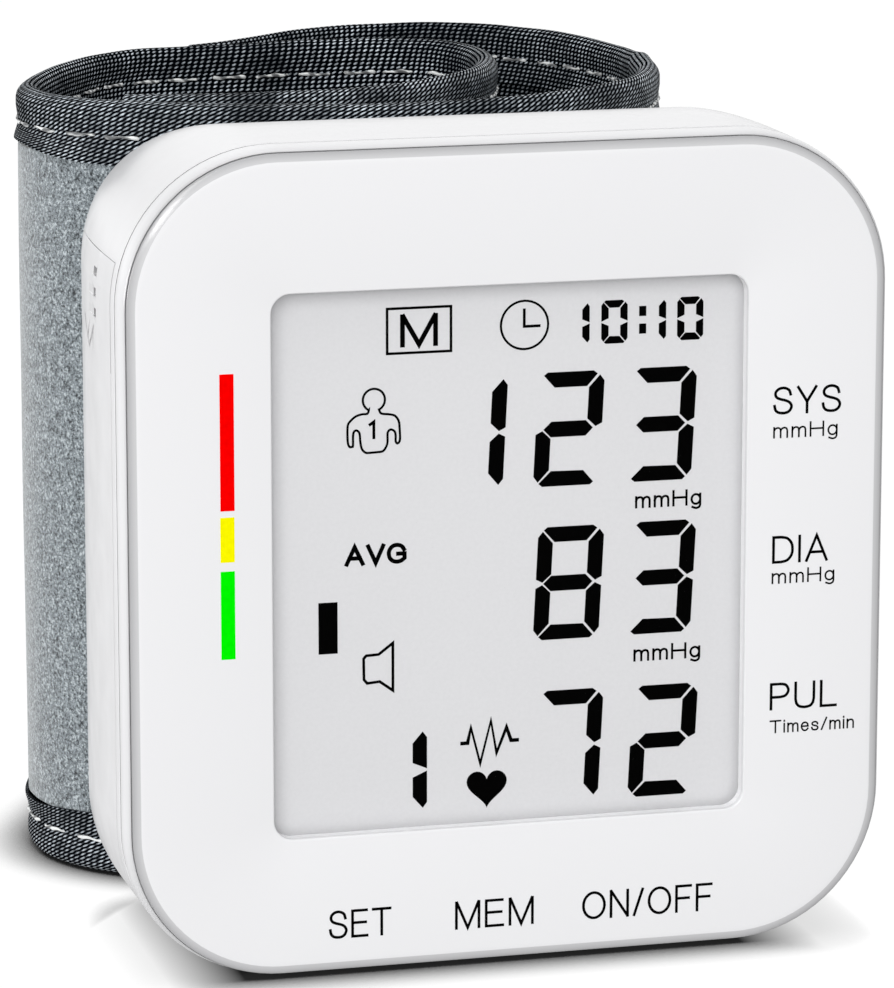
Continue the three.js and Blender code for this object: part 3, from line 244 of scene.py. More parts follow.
# %% Metals, cells and board
def metal(name, color, roughness, stretch=(40, 40, 1500)):
    made = Recipe(name, color, roughness, Metallic=1.0)
    lines = made.noise(1, 3, 0.6, made.node("Mapping", {"Vector": made.place(), "Scale": stretch}))
    made.set("Roughness", made.spread(lines, 0.3, 0.7, roughness * 0.7, roughness * 1.4))
    made.set("Base Color", made.ramp(lines, (0.3, tuple(c * 0.82 for c in color)), (0.7, color)))
    made.bump(lines, 6e-6, 0.5)
    return made


steel = metal("steel", (0.56, 0.57, 0.58), 0.32)
nickel = metal("nickel", (0.7, 0.69, 0.65), 0.2)

sleeve = Recipe("cell_sleeve", (0.1, 0.14, 0.19), 0.3, Metallic=0.35)
cell_height = sleeve.split(sleeve.place())["Z"]
sleeve_low, sleeve_high = 0.023, 0.0233
band = sleeve.spread(cell_height, sleeve_low, sleeve_high, 0, 1)
sleeve_tone = sleeve.ramp(band, (0.0, (0.62, 0.63, 0.64)), (1.0, (0.035, 0.07, 0.12)))
sleeve.set("Base Color", sleeve_tone)
sleeve.bump(sleeve.noise(600), 5e-6)

board = Recipe("board_lacquer", (0.02, 0.16, 0.07), 0.3)
tracks = board.node("TexBrick", {
    "Vector": board.node("Mapping", {"Vector": board.place(), "Rotation": (1.5708, 0, 0), "Scale": grey(90)}),
    "Color1": (0.02, 0.15, 0.065, 1), "Color2": (0.018, 0.13, 0.055, 1), "Mortar": (0.03, 0.22, 0.1, 1),
    "Mortar Size": 0.03,
})
board.set("Base Color", tracks)
board.bump(board.noise(500), 1e-5)
print("metals ready")

# %% [markdown]
# A liquid crystal display is a thin glass sandwich: pale grey, slightly silky, with black marks that
# float just behind the clear cover. The cover window could be real refracting glass, but such a thin
# flat sheet hardly bends light, so a mix of see-through and gloss is cleaner and renders faster.

# %% Display finishes
display_grey = Recipe("display_grey", (0.77, 0.77, 0.785), 0.35)
pixels = display_grey.noise(2600, 1)
pixel_tones = (0.3, (0.76, 0.76, 0.775)), (0.7, (0.78, 0.78, 0.795))
display_grey.set("Base Color", display_grey.ramp(pixels, *pixel_tones))
display_grey.bump(display_grey.noise(60, 1), 3e-6)

COVER_FALL = 4.0  # no gloss straight on, more along the surface
cover = Recipe("clear_cover", grey(1.0), 0.05)
see_through = cover.node("BsdfTransparent", {"Color": (1, 1, 1, 1)})
gloss = cover.node("BsdfGlossy", {"Roughness": 0.05})
edge_gloss = cover.math("POWER", cover.node("LayerWeight", output="Facing"), COVER_FALL)
lit = cover.math("SUBTRACT", edge_gloss, cover.node("LightPath", output="Is Shadow Ray"), True)  # lets light in
cover.plug(cover.tree.nodes["Material Output"].inputs["Surface"],
           cover.node("MixShader", {0: lit, 1: see_through, 2: gloss}))
cover.tree.nodes.remove(cover.shader)


def printed(name, color, roughness=0.6):
    made = Recipe(name, color, roughness, Specular_IOR_Level=0.0)
    speck = made.noise(1800, 2)
    thin = tuple(c * 0.92 for c in color)
    made.set("Base Color", made.ramp(speck, (0.25, thin), (0.6, color)))
    made.bump(speck, 3e-6)
    return made


display_black = printed("display_black", grey(0.0015))
ink_black = printed("ink_black", grey(0.002))
ink_red = printed("ink_red", (1.0, 0.0, 0.0))
ink_yellow = printed("ink_yellow", (1.0, 0.96, 0.0))
ink_green = printed("ink_green", (0.0, 0.95, 0.0))
print("display finishes ready")

# %% [markdown]
# Black nylon weave. Close up, light catches its threads in rows of pale dots that step sideways from row
# to row, so that slanting ridges appear. These are painted highlights in the colour, in patches of
# random strength, and the same value raises the specular. It could be an image, but three cosine waves
# along the cloth give it at any scale: one for the rows, one for the columns and one for the ridges. The
# mesh stores a place on the cloth in millimetres, so the threads follow every fold, and how strong the
# ridges are there.

# %% Woven nylon
COLUMN_PITCH, ROW_PITCH, ROW_SHIFT = 0.73, 0.47, 0.12  # mm


def woven(name, dark, pale, depth=5e-5):
    made = Recipe(name, dark, 0.5)
    cloth = made.node("Attribute", output="Vector", attribute_name="cloth")
    warp = made.node("VectorMath", {0: made.node("TexNoise", {"Scale": 260.0, "Detail": 1.0}, output="Color"),
                                    1: grey(0.5)}, operation="SUBTRACT")
    warp = made.node("VectorMath", {0: warp, "Scale": 0.14}, operation="SCALE")
    cloth = made.node("VectorMath", {0: cloth, 1: warp}, operation="ADD")
    split = made.split(cloth)
    row = made.math("MULTIPLY", split["Y"], 2 * math.pi / ROW_PITCH)
    column = made.math("SUBTRACT", made.math("MULTIPLY", split["X"], 2 * math.pi / COLUMN_PITCH),
                       made.math("MULTIPLY", row, ROW_SHIFT / COLUMN_PITCH))
    ridge = made.math("COSINE", made.math("SUBTRACT", column, row))
    dots = made.math("MULTIPLY", made.math("ADD", made.math("COSINE", row), made.math("COSINE", column)), 0.5)
    mixed = made.node("Mix", {0: split["Z"], 2: dots, 3: ridge})
    height = made.spread(mixed, -0.7, 1, 0, 1)
    patch = made.math("MULTIPLY", made.spread(made.noise(90, 3), 0.38, 0.62, 0.28, 0.95),
                      made.spread(made.noise(1500, 1), 0.35, 0.65, 0.5, 1.25))
    # painted highlight on the thread crests, in patches; the same value sets the specular
    shine = made.math("MULTIPLY", made.spread(mixed, 0.12, 0.72, 0, 1), patch)
    made.set("Base Color", made.ramp(shine, (0.0, dark), (1.0, pale)))
    made.set("Roughness", 0.4)
    made.set("Specular IOR Level", made.math("MULTIPLY", shine, 0.9))
    made.bump(height, depth)
    return made


nylon_weave = woven("nylon_weave", (0.001, 0.0018, 0.003), (0.76, 0.84, 0.92))
print("weave pitch", COLUMN_PITCH, "by", ROW_PITCH, "mm")

# %% [markdown]
# Grey loop fabric covers the outside of the cuff. From near it is a dense pile of tiny loops, from
# far a soft mottled grey that turns paler at the edge. Two noises at loop size make the mottling
# and the bump, and a sheen layer gives the pale edge that short fibres have.

# %% Loop fabric, hook tape, thread and film
loop_pile = Recipe("loop_pile", (0.3, 0.335, 0.36), 0.95, Sheen_Weight=0.7, Sheen_Roughness=0.45)
loops = loop_pile.noise(3300, 3, 0.75)
clumps = loop_pile.noise(1000, 1)
mottle = loop_pile.math("ADD", loop_pile.math("MULTIPLY", loops, 0.85),
                        loop_pile.math("MULTIPLY", clumps, 0.15))
loop_pile.set("Base Color", loop_pile.ramp(
    mottle, (0.4, (0.012, 0.016, 0.02)), (0.455, (0.15, 0.175, 0.19)), (0.54, (0.235, 0.27, 0.29)),
    (0.62, (0.54, 0.59, 0.62))
))
loop_pile.bump(mottle, 1.5e-4, 0.8)

hook_tape = Recipe("hook_tape", grey(0.012), 0.6)
hooks = hook_tape.node("TexVoronoi", {"Vector": hook_tape.place(), "Scale": 900.0})
hook_tape.set("Base Color", hook_tape.ramp(hooks, (0.1, grey(0.05)), (0.6, grey(0.008))))
hook_tape.bump(hook_tape.math("SUBTRACT", 1.0, hooks), 2e-4)

sewing = Recipe("sewing_thread", (0.62, 0.63, 0.62), 0.7, Sheen_Weight=0.3)
ply = sewing.node("TexWave", {"Vector": sewing.place(), "Scale": 420.0, "Distortion": 3.0},
                  bands_direction="DIAGONAL")
# painted shade between the twisted plies of the thread, with a random strength along it
ply_shade = sewing.math("MULTIPLY", ply, sewing.spread(sewing.noise(900, 2), 0.35, 0.6, 0.45, 1.2))
sewing.set("Base Color", sewing.ramp(ply_shade, (0.1, (0.13, 0.135, 0.14)), (0.6, (0.85, 0.87, 0.87))))
sewing.bump(ply, 6e-5)

air_film = Recipe("air_film", (0.05, 0.052, 0.056), 0.45)
air_film.bump(air_film.noise(160, 3), 1.5e-4)
print("fabrics ready")

# %% [markdown]
# Nothing in the CAD frame is left with a plain colour. The nodes whose shape is right as it is get
# one of the finishes here. The shells, the printed face and the cloth are made again below, because
# their curves need more points than a CAD solid has.

# %% Finishes on the CAD nodes
def only_material(mesh, recipe):
    mesh.materials.clear()
    mesh.materials.append(recipe.material)
    for polygon in mesh.polygons:
        polygon.material_index = 0


def finish(nodes, recipe):
    for name in nodes:
        only_material(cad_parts[name].data, recipe)


finish(["display_lens"], cover)
finish(["display_glass"], display_grey)
finish(["display_frame", "switch_stem_set", "switch_stem_memory", "switch_stem_power", "pump_head",
        "pump_cover", "air_manifold", "cuff_plate"], inner_nylon)
finish(["conductive_strip"], strip_rubber)
finish(["main_board"], board)
finish(["controller_chip", "memory_chip", "buzzer", "pressure_sensor", "switch_set", "switch_memory",
        "switch_power"], black_mould)
finish(["key_set", "key_memory", "key_power"], key_plastic)
finish(["cell_1", "cell_2"], sleeve)
finish(["battery_spring_1", "battery_spring_2", "contact_bridge", "contact_plate_1", "contact_plate_2",
        "pump_shaft", "valve_plunger"], nickel)
finish([f"case_screw_{i}" for i in (1, 2, 3, 4)] + ["board_screw_1", "board_screw_2", "pump_motor",
        "valve_body", "valve_spring"], steel)
finish(["pump_diaphragm"], black_rubber)
finish(["air_tube_valve", "air_tube_sensor", "air_tube_pump", "air_tube_cuff"], silicone)
print("nodes finished in place")

# %% [markdown]
# New pieces are made from lists of points and faces. Every piece is stored in metres in the frame's
# own axes and rides on a body so that it moves with it.

# %% Mesh helper
def new_mesh(name, points, faces):
    """points in mm."""
    mesh = bpy.data.meshes.new(name)
    mesh.from_pydata([tuple(p) for p in np.asarray(points, float) * MM], [], [list(f) for f in faces])
    return mesh


def new_object(name, mesh):
    found = bpy.data.objects.new(name, mesh)
    scene.collection.objects.link(found)
    return found


def piece(name, points, faces, recipe, body, slot, replaces=(), stored=None, sharp=35):
    """stored: {name: values} kept at each point."""
    mesh = new_mesh(name, points, faces)
    mesh.validate()
    for key, values in (stored or {}).items():
        flat = np.asarray(values, float)
        kind = "FLOAT_VECTOR" if flat.ndim == 2 else "FLOAT"
        layer = mesh.attributes.new(key, kind, "POINT")
        layer.data.foreach_set("vector" if flat.ndim == 2 else "value", flat.ravel())
    return dress(name, mesh, recipe, body, replaces, sharp)


def dress(name, mesh, recipe, body, replaces=(), sharp=35):
    mesh.name = name
    only_material(mesh, recipe)
    mesh.shade_smooth()
    mesh.set_sharp_from_angle(angle=math.radians(sharp))
    found = new_object(name, mesh)
    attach(found, body)
    if replaces:
        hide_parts(*replaces)
    return found


print("piece helper ready")

# %% [markdown]
# The case outline is a rounded square. All of its shells are lofts: rings of the same outline at
# growing depth, each drawn in by some millimetres. Twenty points on each corner keep the outline
# round in a close view.

# %% Lofts of the case outline
CASE_WIDTH, CASE_HEIGHT, CASE_DEPTH, CASE_CORNER = 75, 80, 29, 15
MIDDLE_Z = CASE_HEIGHT / 2
CORNER_STEPS = 20
QUARTER = np.repeat(np.arange(4), CORNER_STEPS + 1)
CORNER_ANGLE = (QUARTER + np.tile(np.arange(CORNER_STEPS + 1) / CORNER_STEPS, 4)) * math.pi / 2
BACK_ROUND_DEPTH, BACK_ROUND_INSET, BACK_CORNER_LOSS, BACK_STEPS = 20, 2.9, 2.6, 18
UNDERSIDE_ROUND_DEPTH, UNDERSIDE_ROUND_INSET = 11, 4


def outline(width, height, corner, x=0.0, z=MIDDLE_Z):
    """Rounded rectangle as an (n, 2) array, running round once."""
    right, up = np.where(QUARTER % 3, -1, 1), np.where(QUARTER < 2, 1, -1)
    return np.column_stack([x + right * (width / 2 - corner) + corner * np.cos(CORNER_ANGLE),
                            z + up * (height / 2 - corner) + corner * np.sin(CORNER_ANGLE)])


def case_ring(inset, low=None, corner=None):
    """The case outline drawn in by an inset. low is the lower side's inset, if it differs."""
    low = inset if low is None else low
    corner = CASE_CORNER - inset if corner is None else corner
    return outline(CASE_WIDTH - 2 * inset, CASE_HEIGHT - inset - low, corner, z=MIDDLE_Z + (low - inset) / 2)


def at_depth(ring, depth):
    return np.column_stack([ring[:, 0], np.full(len(ring), depth - STAND_DEPTH), ring[:, 1]])


def joined(rings, ends=True, around=False):
    """Points and faces through equal rings. ends closes the first and last ring with a face,
    around joins the last ring to the first one."""
    count = len(rings[0])
    faces = []
    last = len(rings) if around else len(rings) - 1
    for r in range(last):
        a, b = r * count, (r + 1) % len(rings) * count
        for i in range(count):
            j = (i + 1) % count
            faces.append((a + i, b + i, b + j, a + j))
    if ends and not around:
        faces.append(tuple(range(count)))
        faces.append(tuple(range((len(rings) - 1) * count, len(rings) * count))[::-1])
    return np.concatenate(rings), faces


def extruded(ring, depth0, depth1):
    return joined([at_depth(ring, depth0), at_depth(ring, depth1)])


def loft(sections):
    return joined([at_depth(case_ring(*shape), depth) for depth, *shape in sections])


def back_sections(wall, back):
    """The rounded back. The underside stays flat for longer, so that the case can stand on it."""
    found = []
    flat_depth = CASE_DEPTH - UNDERSIDE_ROUND_DEPTH
    for i in range(BACK_STEPS + 1):
        angle = i / BACK_STEPS * math.pi / 2
        bend = 1 - math.cos(angle)
        depth = CASE_DEPTH - BACK_ROUND_DEPTH + (BACK_ROUND_DEPTH - back) * math.sin(angle)
        share = min(max((depth - flat_depth) / (UNDERSIDE_ROUND_DEPTH - back), 0), 1)
        inset = wall + BACK_ROUND_INSET * bend
        low = wall + UNDERSIDE_ROUND_INSET * (1 - math.sqrt(1 - share * share))
        found.append((depth, inset, low, CASE_CORNER - inset - BACK_CORNER_LOSS * bend))
    return found


print("points on an outline", len(case_ring(0)))

# %% [markdown]
# The face is one printed panel with the window cut out of it. Going round its section, from the
# window's wall over a small rounding to the flat face, down the soft slope to the rim, and back
# behind, gives a closed shape without a single boolean cut.

# %% Printed face
WINDOW = (46.6, 52.5, 1.9)
FACE_INSET, RIM_INSET, PANEL = 1.34, 0.55, 0.65
# WINDOW_SHADE: painted shade on the window's wall, fading over its rounding to the flat face
WINDOW_ROUND, WINDOW_SHADE = 0.16, 0.8
RIM = (  # inset, depth, stored painted shade, and its loss on the upper and left sides, which face the lamps
    (FACE_INSET + 0.5, 0, 1, 0), (FACE_INSET + 0.03, 0, 1, 0), (FACE_INSET - 0.03, 0.01, 0.7, 0.04),
    (1.0, 0.08, 0.62, 0.06), (0.75, 0.15, 0.54, 0.1), (0.62, 0.2, 0.47, 0.15), (0.57, 0.26, 0.4, 0.15),
    (RIM_INSET, 0.36, 0.34, 0.1), (RIM_INSET, PANEL, 0.25, 0),
)
lit_side = np.maximum(0, np.maximum(np.sin(CORNER_ANGLE), -np.cos(CORNER_ANGLE)))


def window_ring(margin):
    return outline(WINDOW[0] + 2 * margin, WINDOW[1] + 2 * margin, WINDOW[2] + margin)


face_rings, face_shade = [], []


def face_ring(ring, depth, value):
    face_rings.append(at_depth(ring, depth))
    face_shade.extend(value * np.ones(len(ring)))


face_ring(window_ring(0), PANEL, WINDOW_SHADE)
for share in (0, 0.25, 0.5, 0.75, 1):
    angle = share * math.pi / 2
    margin, depth = WINDOW_ROUND * (1 - math.cos(angle)), WINDOW_ROUND * (1 - math.sin(angle))
    face_ring(window_ring(margin), depth, WINDOW_SHADE + (1 - WINDOW_SHADE) * share)
for inset, depth, value, loss in RIM:
    face_ring(case_ring(inset), depth, value * (1 - loss * lit_side))
points, faces = joined(face_rings, around=True)
piece("printed_face", points, faces, face_white, "housing", "panel", ["face_panel"], {"shade": face_shade})
print("face points", len(points))

# %% [markdown]
# Some shells have pockets, holes and grooves. Lofting those by hand would be long, so they are cut
# with Blender's boolean modifier. Its exact Manifold solver is quick and keeps closed shapes closed.
# A small bevel afterwards gives each cut edge the soft line that a mould gives.

# %% Cutting and joining
ROD_SIDES, CELL_SIDES = 32, 40


def temporary(shape):
    """An object to cut with, from points and faces or from a mesh. An object stays as it is."""
    if isinstance(shape, bpy.types.Object):
        return shape
    mesh = shape if isinstance(shape, bpy.types.Mesh) else new_mesh("temporary", *shape)
    return new_object("temporary", mesh)


def settle(found):
    """The object's mesh with its modifiers applied. The object is removed."""
    made = bpy.data.meshes.new_from_object(found.evaluated_get(bpy.context.evaluated_depsgraph_get()))
    bpy.data.objects.remove(found)
    return made


def combine(base, others, operation):
    found, tools = temporary(base), [temporary(other) for other in others]
    for tool in tools:
        step = found.modifiers.new("step", "BOOLEAN")
        step.operation, step.object, step.solver = operation, tool, "MANIFOLD"
    made = temporary(settle(found))
    for tool in tools:
        bpy.data.objects.remove(tool)
    return made


def block(x0, x1, depth0, depth1, z0, z1):
    corners = [(x, y - STAND_DEPTH, z) for z in (z0, z1) for y in (depth0, depth1) for x in (x0, x1)]
    return corners, [(0, 2, 3, 1), (4, 5, 7, 6), (0, 1, 5, 4), (2, 6, 7, 3), (0, 4, 6, 2), (1, 3, 7, 5)]


def plate(width, height, corner, x, z, depth0, depth1):
    return extruded(outline(width, height, corner, x, z), depth0, depth1)


def rod(radius, x, z, depth0, depth1):
    turn = np.arange(ROD_SIDES) / ROD_SIDES * 2 * math.pi
    return extruded(np.column_stack([x + radius * np.cos(turn), z + radius * np.sin(turn)]), depth0, depth1)


def upright_rod(radius, x, depth, z0, z1):
    turn = np.arange(CELL_SIDES) / CELL_SIDES * 2 * math.pi
    ring = np.column_stack([x + radius * np.cos(turn), depth - STAND_DEPTH + radius * np.sin(turn)])
    return joined([np.column_stack([ring, np.full(CELL_SIDES, z)]) for z in (z0, z1)])


def soften(found, width, angle=40):
    step = found.modifiers.new("soft_edges", "BEVEL")
    step.width, step.segments, step.limit_method = width * MM, 2, "ANGLE"
    step.angle_limit = math.radians(angle)
    return settle(found)


LIT_CORNER_LOSS = 0.2  # painted shade: the upper left corner faces every lamp, so its colour is darkened a little


def store_shade(found, soft=None, hard=None):
    """soft and hard give a shade from the depth and from how far a place lies inside the outer skin, and z.
    The soft one is stored at points, so it runs from one to the next. The hard one is stored on faces."""
    mesh = found.data
    for name, domain, source, field, rule in (
            ("shade", "POINT", mesh.vertices, "co", soft), ("cut", "FACE", mesh.polygons, "center", hard)):
        co = np.empty(len(source) * 3)
        source.foreach_get(field, co)
        x, y, z = co.reshape(-1, 3).T / MM
        depth = y + STAND_DEPTH
        side = np.abs(x) - (CASE_WIDTH / 2 - CASE_CORNER)
        top = np.abs(z - MIDDLE_Z) - (CASE_HEIGHT / 2 - CASE_CORNER)
        inset = (CASE_CORNER - np.hypot(np.maximum(side, 0), np.maximum(top, 0))
                 - np.minimum(np.maximum(side, top), 0))
        share = np.clip((depth - CASE_DEPTH + BACK_ROUND_DEPTH) / BACK_ROUND_DEPTH, 0, 1)
        sunk = inset - BACK_ROUND_INSET * (1 - np.sqrt(1 - share * share))
        values = rule(depth, sunk, z) if rule else np.ones(len(source))
        if domain == "POINT":
            turn = np.arctan2(np.maximum(top, 0) * (z > MIDDLE_Z), np.maximum(side, 0) * (x < 0))
            values = values * (1 - LIT_CORNER_LOSS * np.sin(2 * turn) ** 2)
        mesh.attributes.new(name, "FLOAT", domain).data.foreach_set("value", values.astype(float))
    even = found.modifiers.new("even_normals", "WEIGHTED_NORMAL")  # keeps large faces flat up to their bevels
    even.keep_sharp = True


print("cutting helpers ready")

# %% [markdown]
# The front shell shows only as a narrow bright band round the face and as the wall of the window,
# but it also carries the keys, the screws and the display, so its holes and bosses are real.

# %% Front shell
SEAM, SEAM_GAP, SIDE_WALL, BACK_WALL = 3.1, 0.3, 1.8, 1.5
BEZEL_FRONT, FACE_BACK, LENS_BACK = 0.7, 1.55, 2.4
LOW_SLOPE = 0.21  # the underside of the front edge rises towards the face
KEY_X, KEY_Z = (-15, -1.7, 13.7), 5.3
SCREWS = ((-28.8, 71.5), (28.8, 71.5), (28.8, 8.5), (-21.5, 5.3))
POSTS = ((-19, 73), (19, 73))
BOARD = 7
TONGUE_INSET, TONGUE_DEPTHS = 1.0, (1.6, 4.7)  # the lip that slides into the rear shell
LENS_FRAME, LENS_SEAT = (52.2, 58.1, 4.7), (50.4, 56.3, 3.8)  # width, height, corner
SCREW_BOSS, SCREW_BORE, SCREW_HEAD, POST_BORE, KEY_BORE = 2.5, 1.25, 2.35, 1.05, 2.6

BEZEL = (  # depth, inset
    (BEZEL_FRONT, 0.62), (BEZEL_FRONT, 0.53), (0.55, 0.51), (0.47, 0.47), (0.48, 0.42), (0.55, 0.37),
    (0.7, 0.29), (1.0, 0.19), (1.4, 0.1), (1.9, 0.03), (2.4, 0), (SEAM - 0.16, 0), (SEAM - 0.05, 0.04),
    (SEAM, 0.14))
bezel = [(depth, inset, max(inset, 0.6 - LOW_SLOPE * depth)) for depth, inset in BEZEL]
shell = combine(loft(bezel), [loft([(depth, TONGUE_INSET) for depth in TONGUE_DEPTHS])], "UNION")
hollow = loft([(FACE_BACK, SIDE_WALL), (TONGUE_DEPTHS[1] + 1, SIDE_WALL)])
shell = combine(shell, [hollow], "DIFFERENCE")
rim = combine(plate(*LENS_FRAME, 0, MIDDLE_Z, 0.75, LENS_BACK),
              [plate(*LENS_SEAT, 0, MIDDLE_Z, FACE_BACK, LENS_BACK + 1)], "DIFFERENCE")
shell = combine(shell, [rim], "UNION")
bosses = [rod(SCREW_BOSS, x, z, 1.5, 9) for x, z in SCREWS] + [rod(2, x, z, 1.5, BOARD - 0.1) for x, z in POSTS]
shell = combine(shell, bosses, "UNION")
holes = [rod(SCREW_BORE, x, z, LENS_BACK, 10) for x, z in SCREWS]
holes += [rod(POST_BORE, x, z, LENS_BACK, 8) for x, z in POSTS]
holes += [rod(KEY_BORE, x, KEY_Z, 0, LENS_BACK + 0.2) for x in KEY_X]
shell = combine(shell, holes + [plate(*WINDOW, 0, MIDDLE_Z, 0, LENS_BACK + 0.2)], "DIFFERENCE")
front_shell = dress("front_shell", settle(shell), case_white, "housing", ["front_case"])
# Painted shade: the front lip darkens towards the face, and the seam's groove is painted dark.
LIP_DEPTHS, LIP_SHADES = (0.47, 0.48, 0.55, 0.7, 1.0, 1.4, 1.9), (0.62, 0.66, 0.72, 0.84, 0.9, 0.96, 1)
GROOVE_SHADE = 0.22


def front_shade(depth, sunk, z):
    lip = np.where(sunk < 0.7, np.interp(depth, LIP_DEPTHS, LIP_SHADES), 1)
    return np.where((depth > SEAM - 0.03) & (sunk < 1.1), GROOVE_SHADE, lip)


store_shade(front_shell, front_shade)

# %% [markdown]
# The rear shell holds the battery bay, the screw wells and the recess for the cuff plate. The
# battery door is cut from the same outline, so its surface runs on from the shell and only a fine
# line shows between them. Grip grooves and a push arrow are sunk into the door.

# %% Rear shell
REAR_FRONT = SEAM + SEAM_GAP
RECESS_FLOOR = CASE_DEPTH - 1.3
RECESS_INSIDE = RECESS_FLOOR - BACK_WALL
DOOR_FRONT, DOOR_TOP, DOOR_EDGE, DOOR_WALL, DOOR_GAP = 5.2, 69, -33, 1.6, 0.2
BAY = (6.0, 27.5, 9.6, 61.3)
CELL_X, CELL_RADIUS, CELL_GAP = -29.65, 5.25, 0.3
CELL_DEPTHS = (11.45, 22.15)
BAY_INNER = CELL_X + CELL_RADIUS + CELL_GAP
PLATE_X, RECESS = -2, (34.6, 60.6, 5)  # middle, then width, height and corner
INNER, LEDGE, WELL = (1.55, 1.25), (3.1, 2.7), 3.6  # insets at the side and the back, radius round a screw
UNDER_DOOR = DOOR_WALL + 0.3
SOFT = 0.2
BESIDE, BEYOND = -38.5, 30  # outside the case's left side and behind its back, for tools that cut through

outer_sections = [(REAR_FRONT, SOFT), (REAR_FRONT + 0.06, 0.06), (REAR_FRONT + SOFT, 0)]
shell = combine(loft(outer_sections + back_sections(0, 0)), [
    loft([(REAR_FRONT - 1, SIDE_WALL)] + back_sections(SIDE_WALL, BACK_WALL)),
    loft([(depth, TONGUE_INSET - 0.15) for depth in (REAR_FRONT - 1, TONGUE_DEPTHS[1] + 0.15)]),
], "DIFFERENCE")
ledge = combine(loft([(5, INNER[0])] + back_sections(*INNER)), [loft([(4, LEDGE[0])] + back_sections(*LEDGE))],
                "DIFFERENCE")
ledge = combine(ledge, [block(-37.5, -30.5, 5, CASE_DEPTH, 0, DOOR_TOP + 2.5)], "INTERSECT")
inner = combine(block(-35.6, BAY_INNER + 1.2, DOOR_FRONT, 28, BAY[2] - 1.2, BAY[3] + 1.2), [
    plate(RECESS[0] + 2.4, RECESS[1] + 2.4, RECESS[2], PLATE_X, MIDDLE_Z, RECESS_INSIDE, 28),
    *[rod(WELL, x, z, 9.2, 28) for x, z in SCREWS],
], "UNION")
inner = combine(inner, [loft([(REAR_FRONT, INNER[0])] + back_sections(*INNER))], "INTERSECT")
shell = combine(shell, [ledge, inner], "UNION")


def door_space(gap):
    return block(BESIDE, DOOR_EDGE + gap, DOOR_FRONT - gap, BEYOND, -1, DOOR_TOP + gap / 3)


under = loft([(REAR_FRONT, UNDER_DOOR)] + back_sections(UNDER_DOOR, UNDER_DOOR))
door_hole = combine(door_space(DOOR_GAP), [under], "DIFFERENCE")
shell = combine(shell, [door_hole], "DIFFERENCE")
HOOKS = [(PLATE_X + across, MIDDLE_Z + side * 25, side) for side in (1, -1) for across in (-12, 12)]
cuts = [block(BESIDE, BAY_INNER, *BAY), plate(*RECESS, PLATE_X, MIDDLE_Z, RECESS_FLOOR, BEYOND),
        rod(2.6, PLATE_X, 29, RECESS_INSIDE - 1, BEYOND)]
for x, z in SCREWS:
    cuts += [rod(SCREW_BORE, x, z, 9, CASE_DEPTH), rod(SCREW_HEAD, x, z, 25.8, BEYOND)]
for x, z, side in HOOKS:
    low, high = (0.8 if side < 0 else 0), (0.8 if side > 0 else 0)
    cuts.append(block(x - 2.8, x + 2.8, RECESS_INSIDE - 1, RECESS_FLOOR + 1, z - 1 - low, z + 1 + high))
shell = combine(shell, cuts, "DIFFERENCE")
rear_shell = dress("rear_shell", soften(shell, 0.07, 50), case_white, "housing", ["rear_case"])
# Painted shade: the seam's groove and the line at the door's front edge are painted dark.
store_shade(rear_shell, hard=lambda depth, sunk, z: np.where(
    (depth < REAR_FRONT + 0.03) & (sunk > 0.1), GROOVE_SHADE,
    np.where((np.abs(depth - DOOR_FRONT) < 0.3) & (sunk > 0.05) & (sunk < 2), 0.35, 1)))

# %% [markdown]
# The door is a thin shell with ribs that hold the cells. The real one has three short grooves for
# the thumb and a sunken arrow, so these are cut; their hollows and the door's front edge also get
# painted shade.

# %% Battery door
GRIP_FRONT, GRIP_LENGTH, GRIP_DEPTH, NOTCH = 13, 7, 0.2, (12.2, 13.9, -36.4)
GRIP_LEVELS = [67 - 1.95 * i for i in range(3)]
ARROW_TOP, ARROW_TIP, ARROW_BAR, ARROW_SUNK = 61.8, 58.9, 0.75, 0.5
RIB, RIB_LEVELS = 1.2, (24, 46)
door = combine(loft(outer_sections + back_sections(0, 0)),
               [loft([(REAR_FRONT - 1, DOOR_WALL)] + back_sections(DOOR_WALL, DOOR_WALL))], "DIFFERENCE")
door = combine(door, [door_space(0)], "INTERSECT")
ribs = [block(-36.15, CELL_X - CELL_RADIUS / 2, *CELL_DEPTHS, z, z + RIB) for z in RIB_LEVELS]
door = combine(door, ribs, "UNION")
# The rods' faces look inwards, so they leave doubled faces in the ribs instead of hollows. A ring that
# runs the other way round would cut them.
cuts = [upright_rod(CELL_RADIUS + CELL_GAP, CELL_X, depth, BAY[2], BAY[3]) for depth in CELL_DEPTHS]
grip_end, grip_mid = GRIP_FRONT + GRIP_LENGTH, GRIP_FRONT + GRIP_LENGTH / 2
for z in GRIP_LEVELS:
    cuts.append(block(BESIDE, GRIP_DEPTH - CASE_WIDTH / 2, NOTCH[1] - 0.1, grip_end, z - 0.425, z + 0.425))
    cuts.append(block(BESIDE, NOTCH[2], *NOTCH[:2], z - 0.42, z + 0.42))
for start, inward in ((GRIP_FRONT, ARROW_BAR), (grip_end, -ARROW_BAR)):
    bar = [(start, ARROW_TOP), (start + inward, ARROW_TOP), (grip_mid + inward / 2, ARROW_TIP + 0.3),
           (grip_mid - inward / 2, ARROW_TIP + 0.3)]
    points = [(x, depth - STAND_DEPTH, z) for x in (BESIDE, ARROW_SUNK - 37.3) for depth, z in bar]
    loops = [(0, 1, 2, 3), (7, 6, 5, 4), (1, 0, 4, 5), (2, 1, 5, 6), (3, 2, 6, 7), (0, 3, 7, 4)]
    cuts.append((points, loops if inward < 0 else [loop[::-1] for loop in loops]))  # faces look outwards
door = combine(door, cuts, "DIFFERENCE")
grid = bmesh.new()  # lines across the long flat faces, so that each mark only bends the light close to it
grid.from_mesh(door.data)
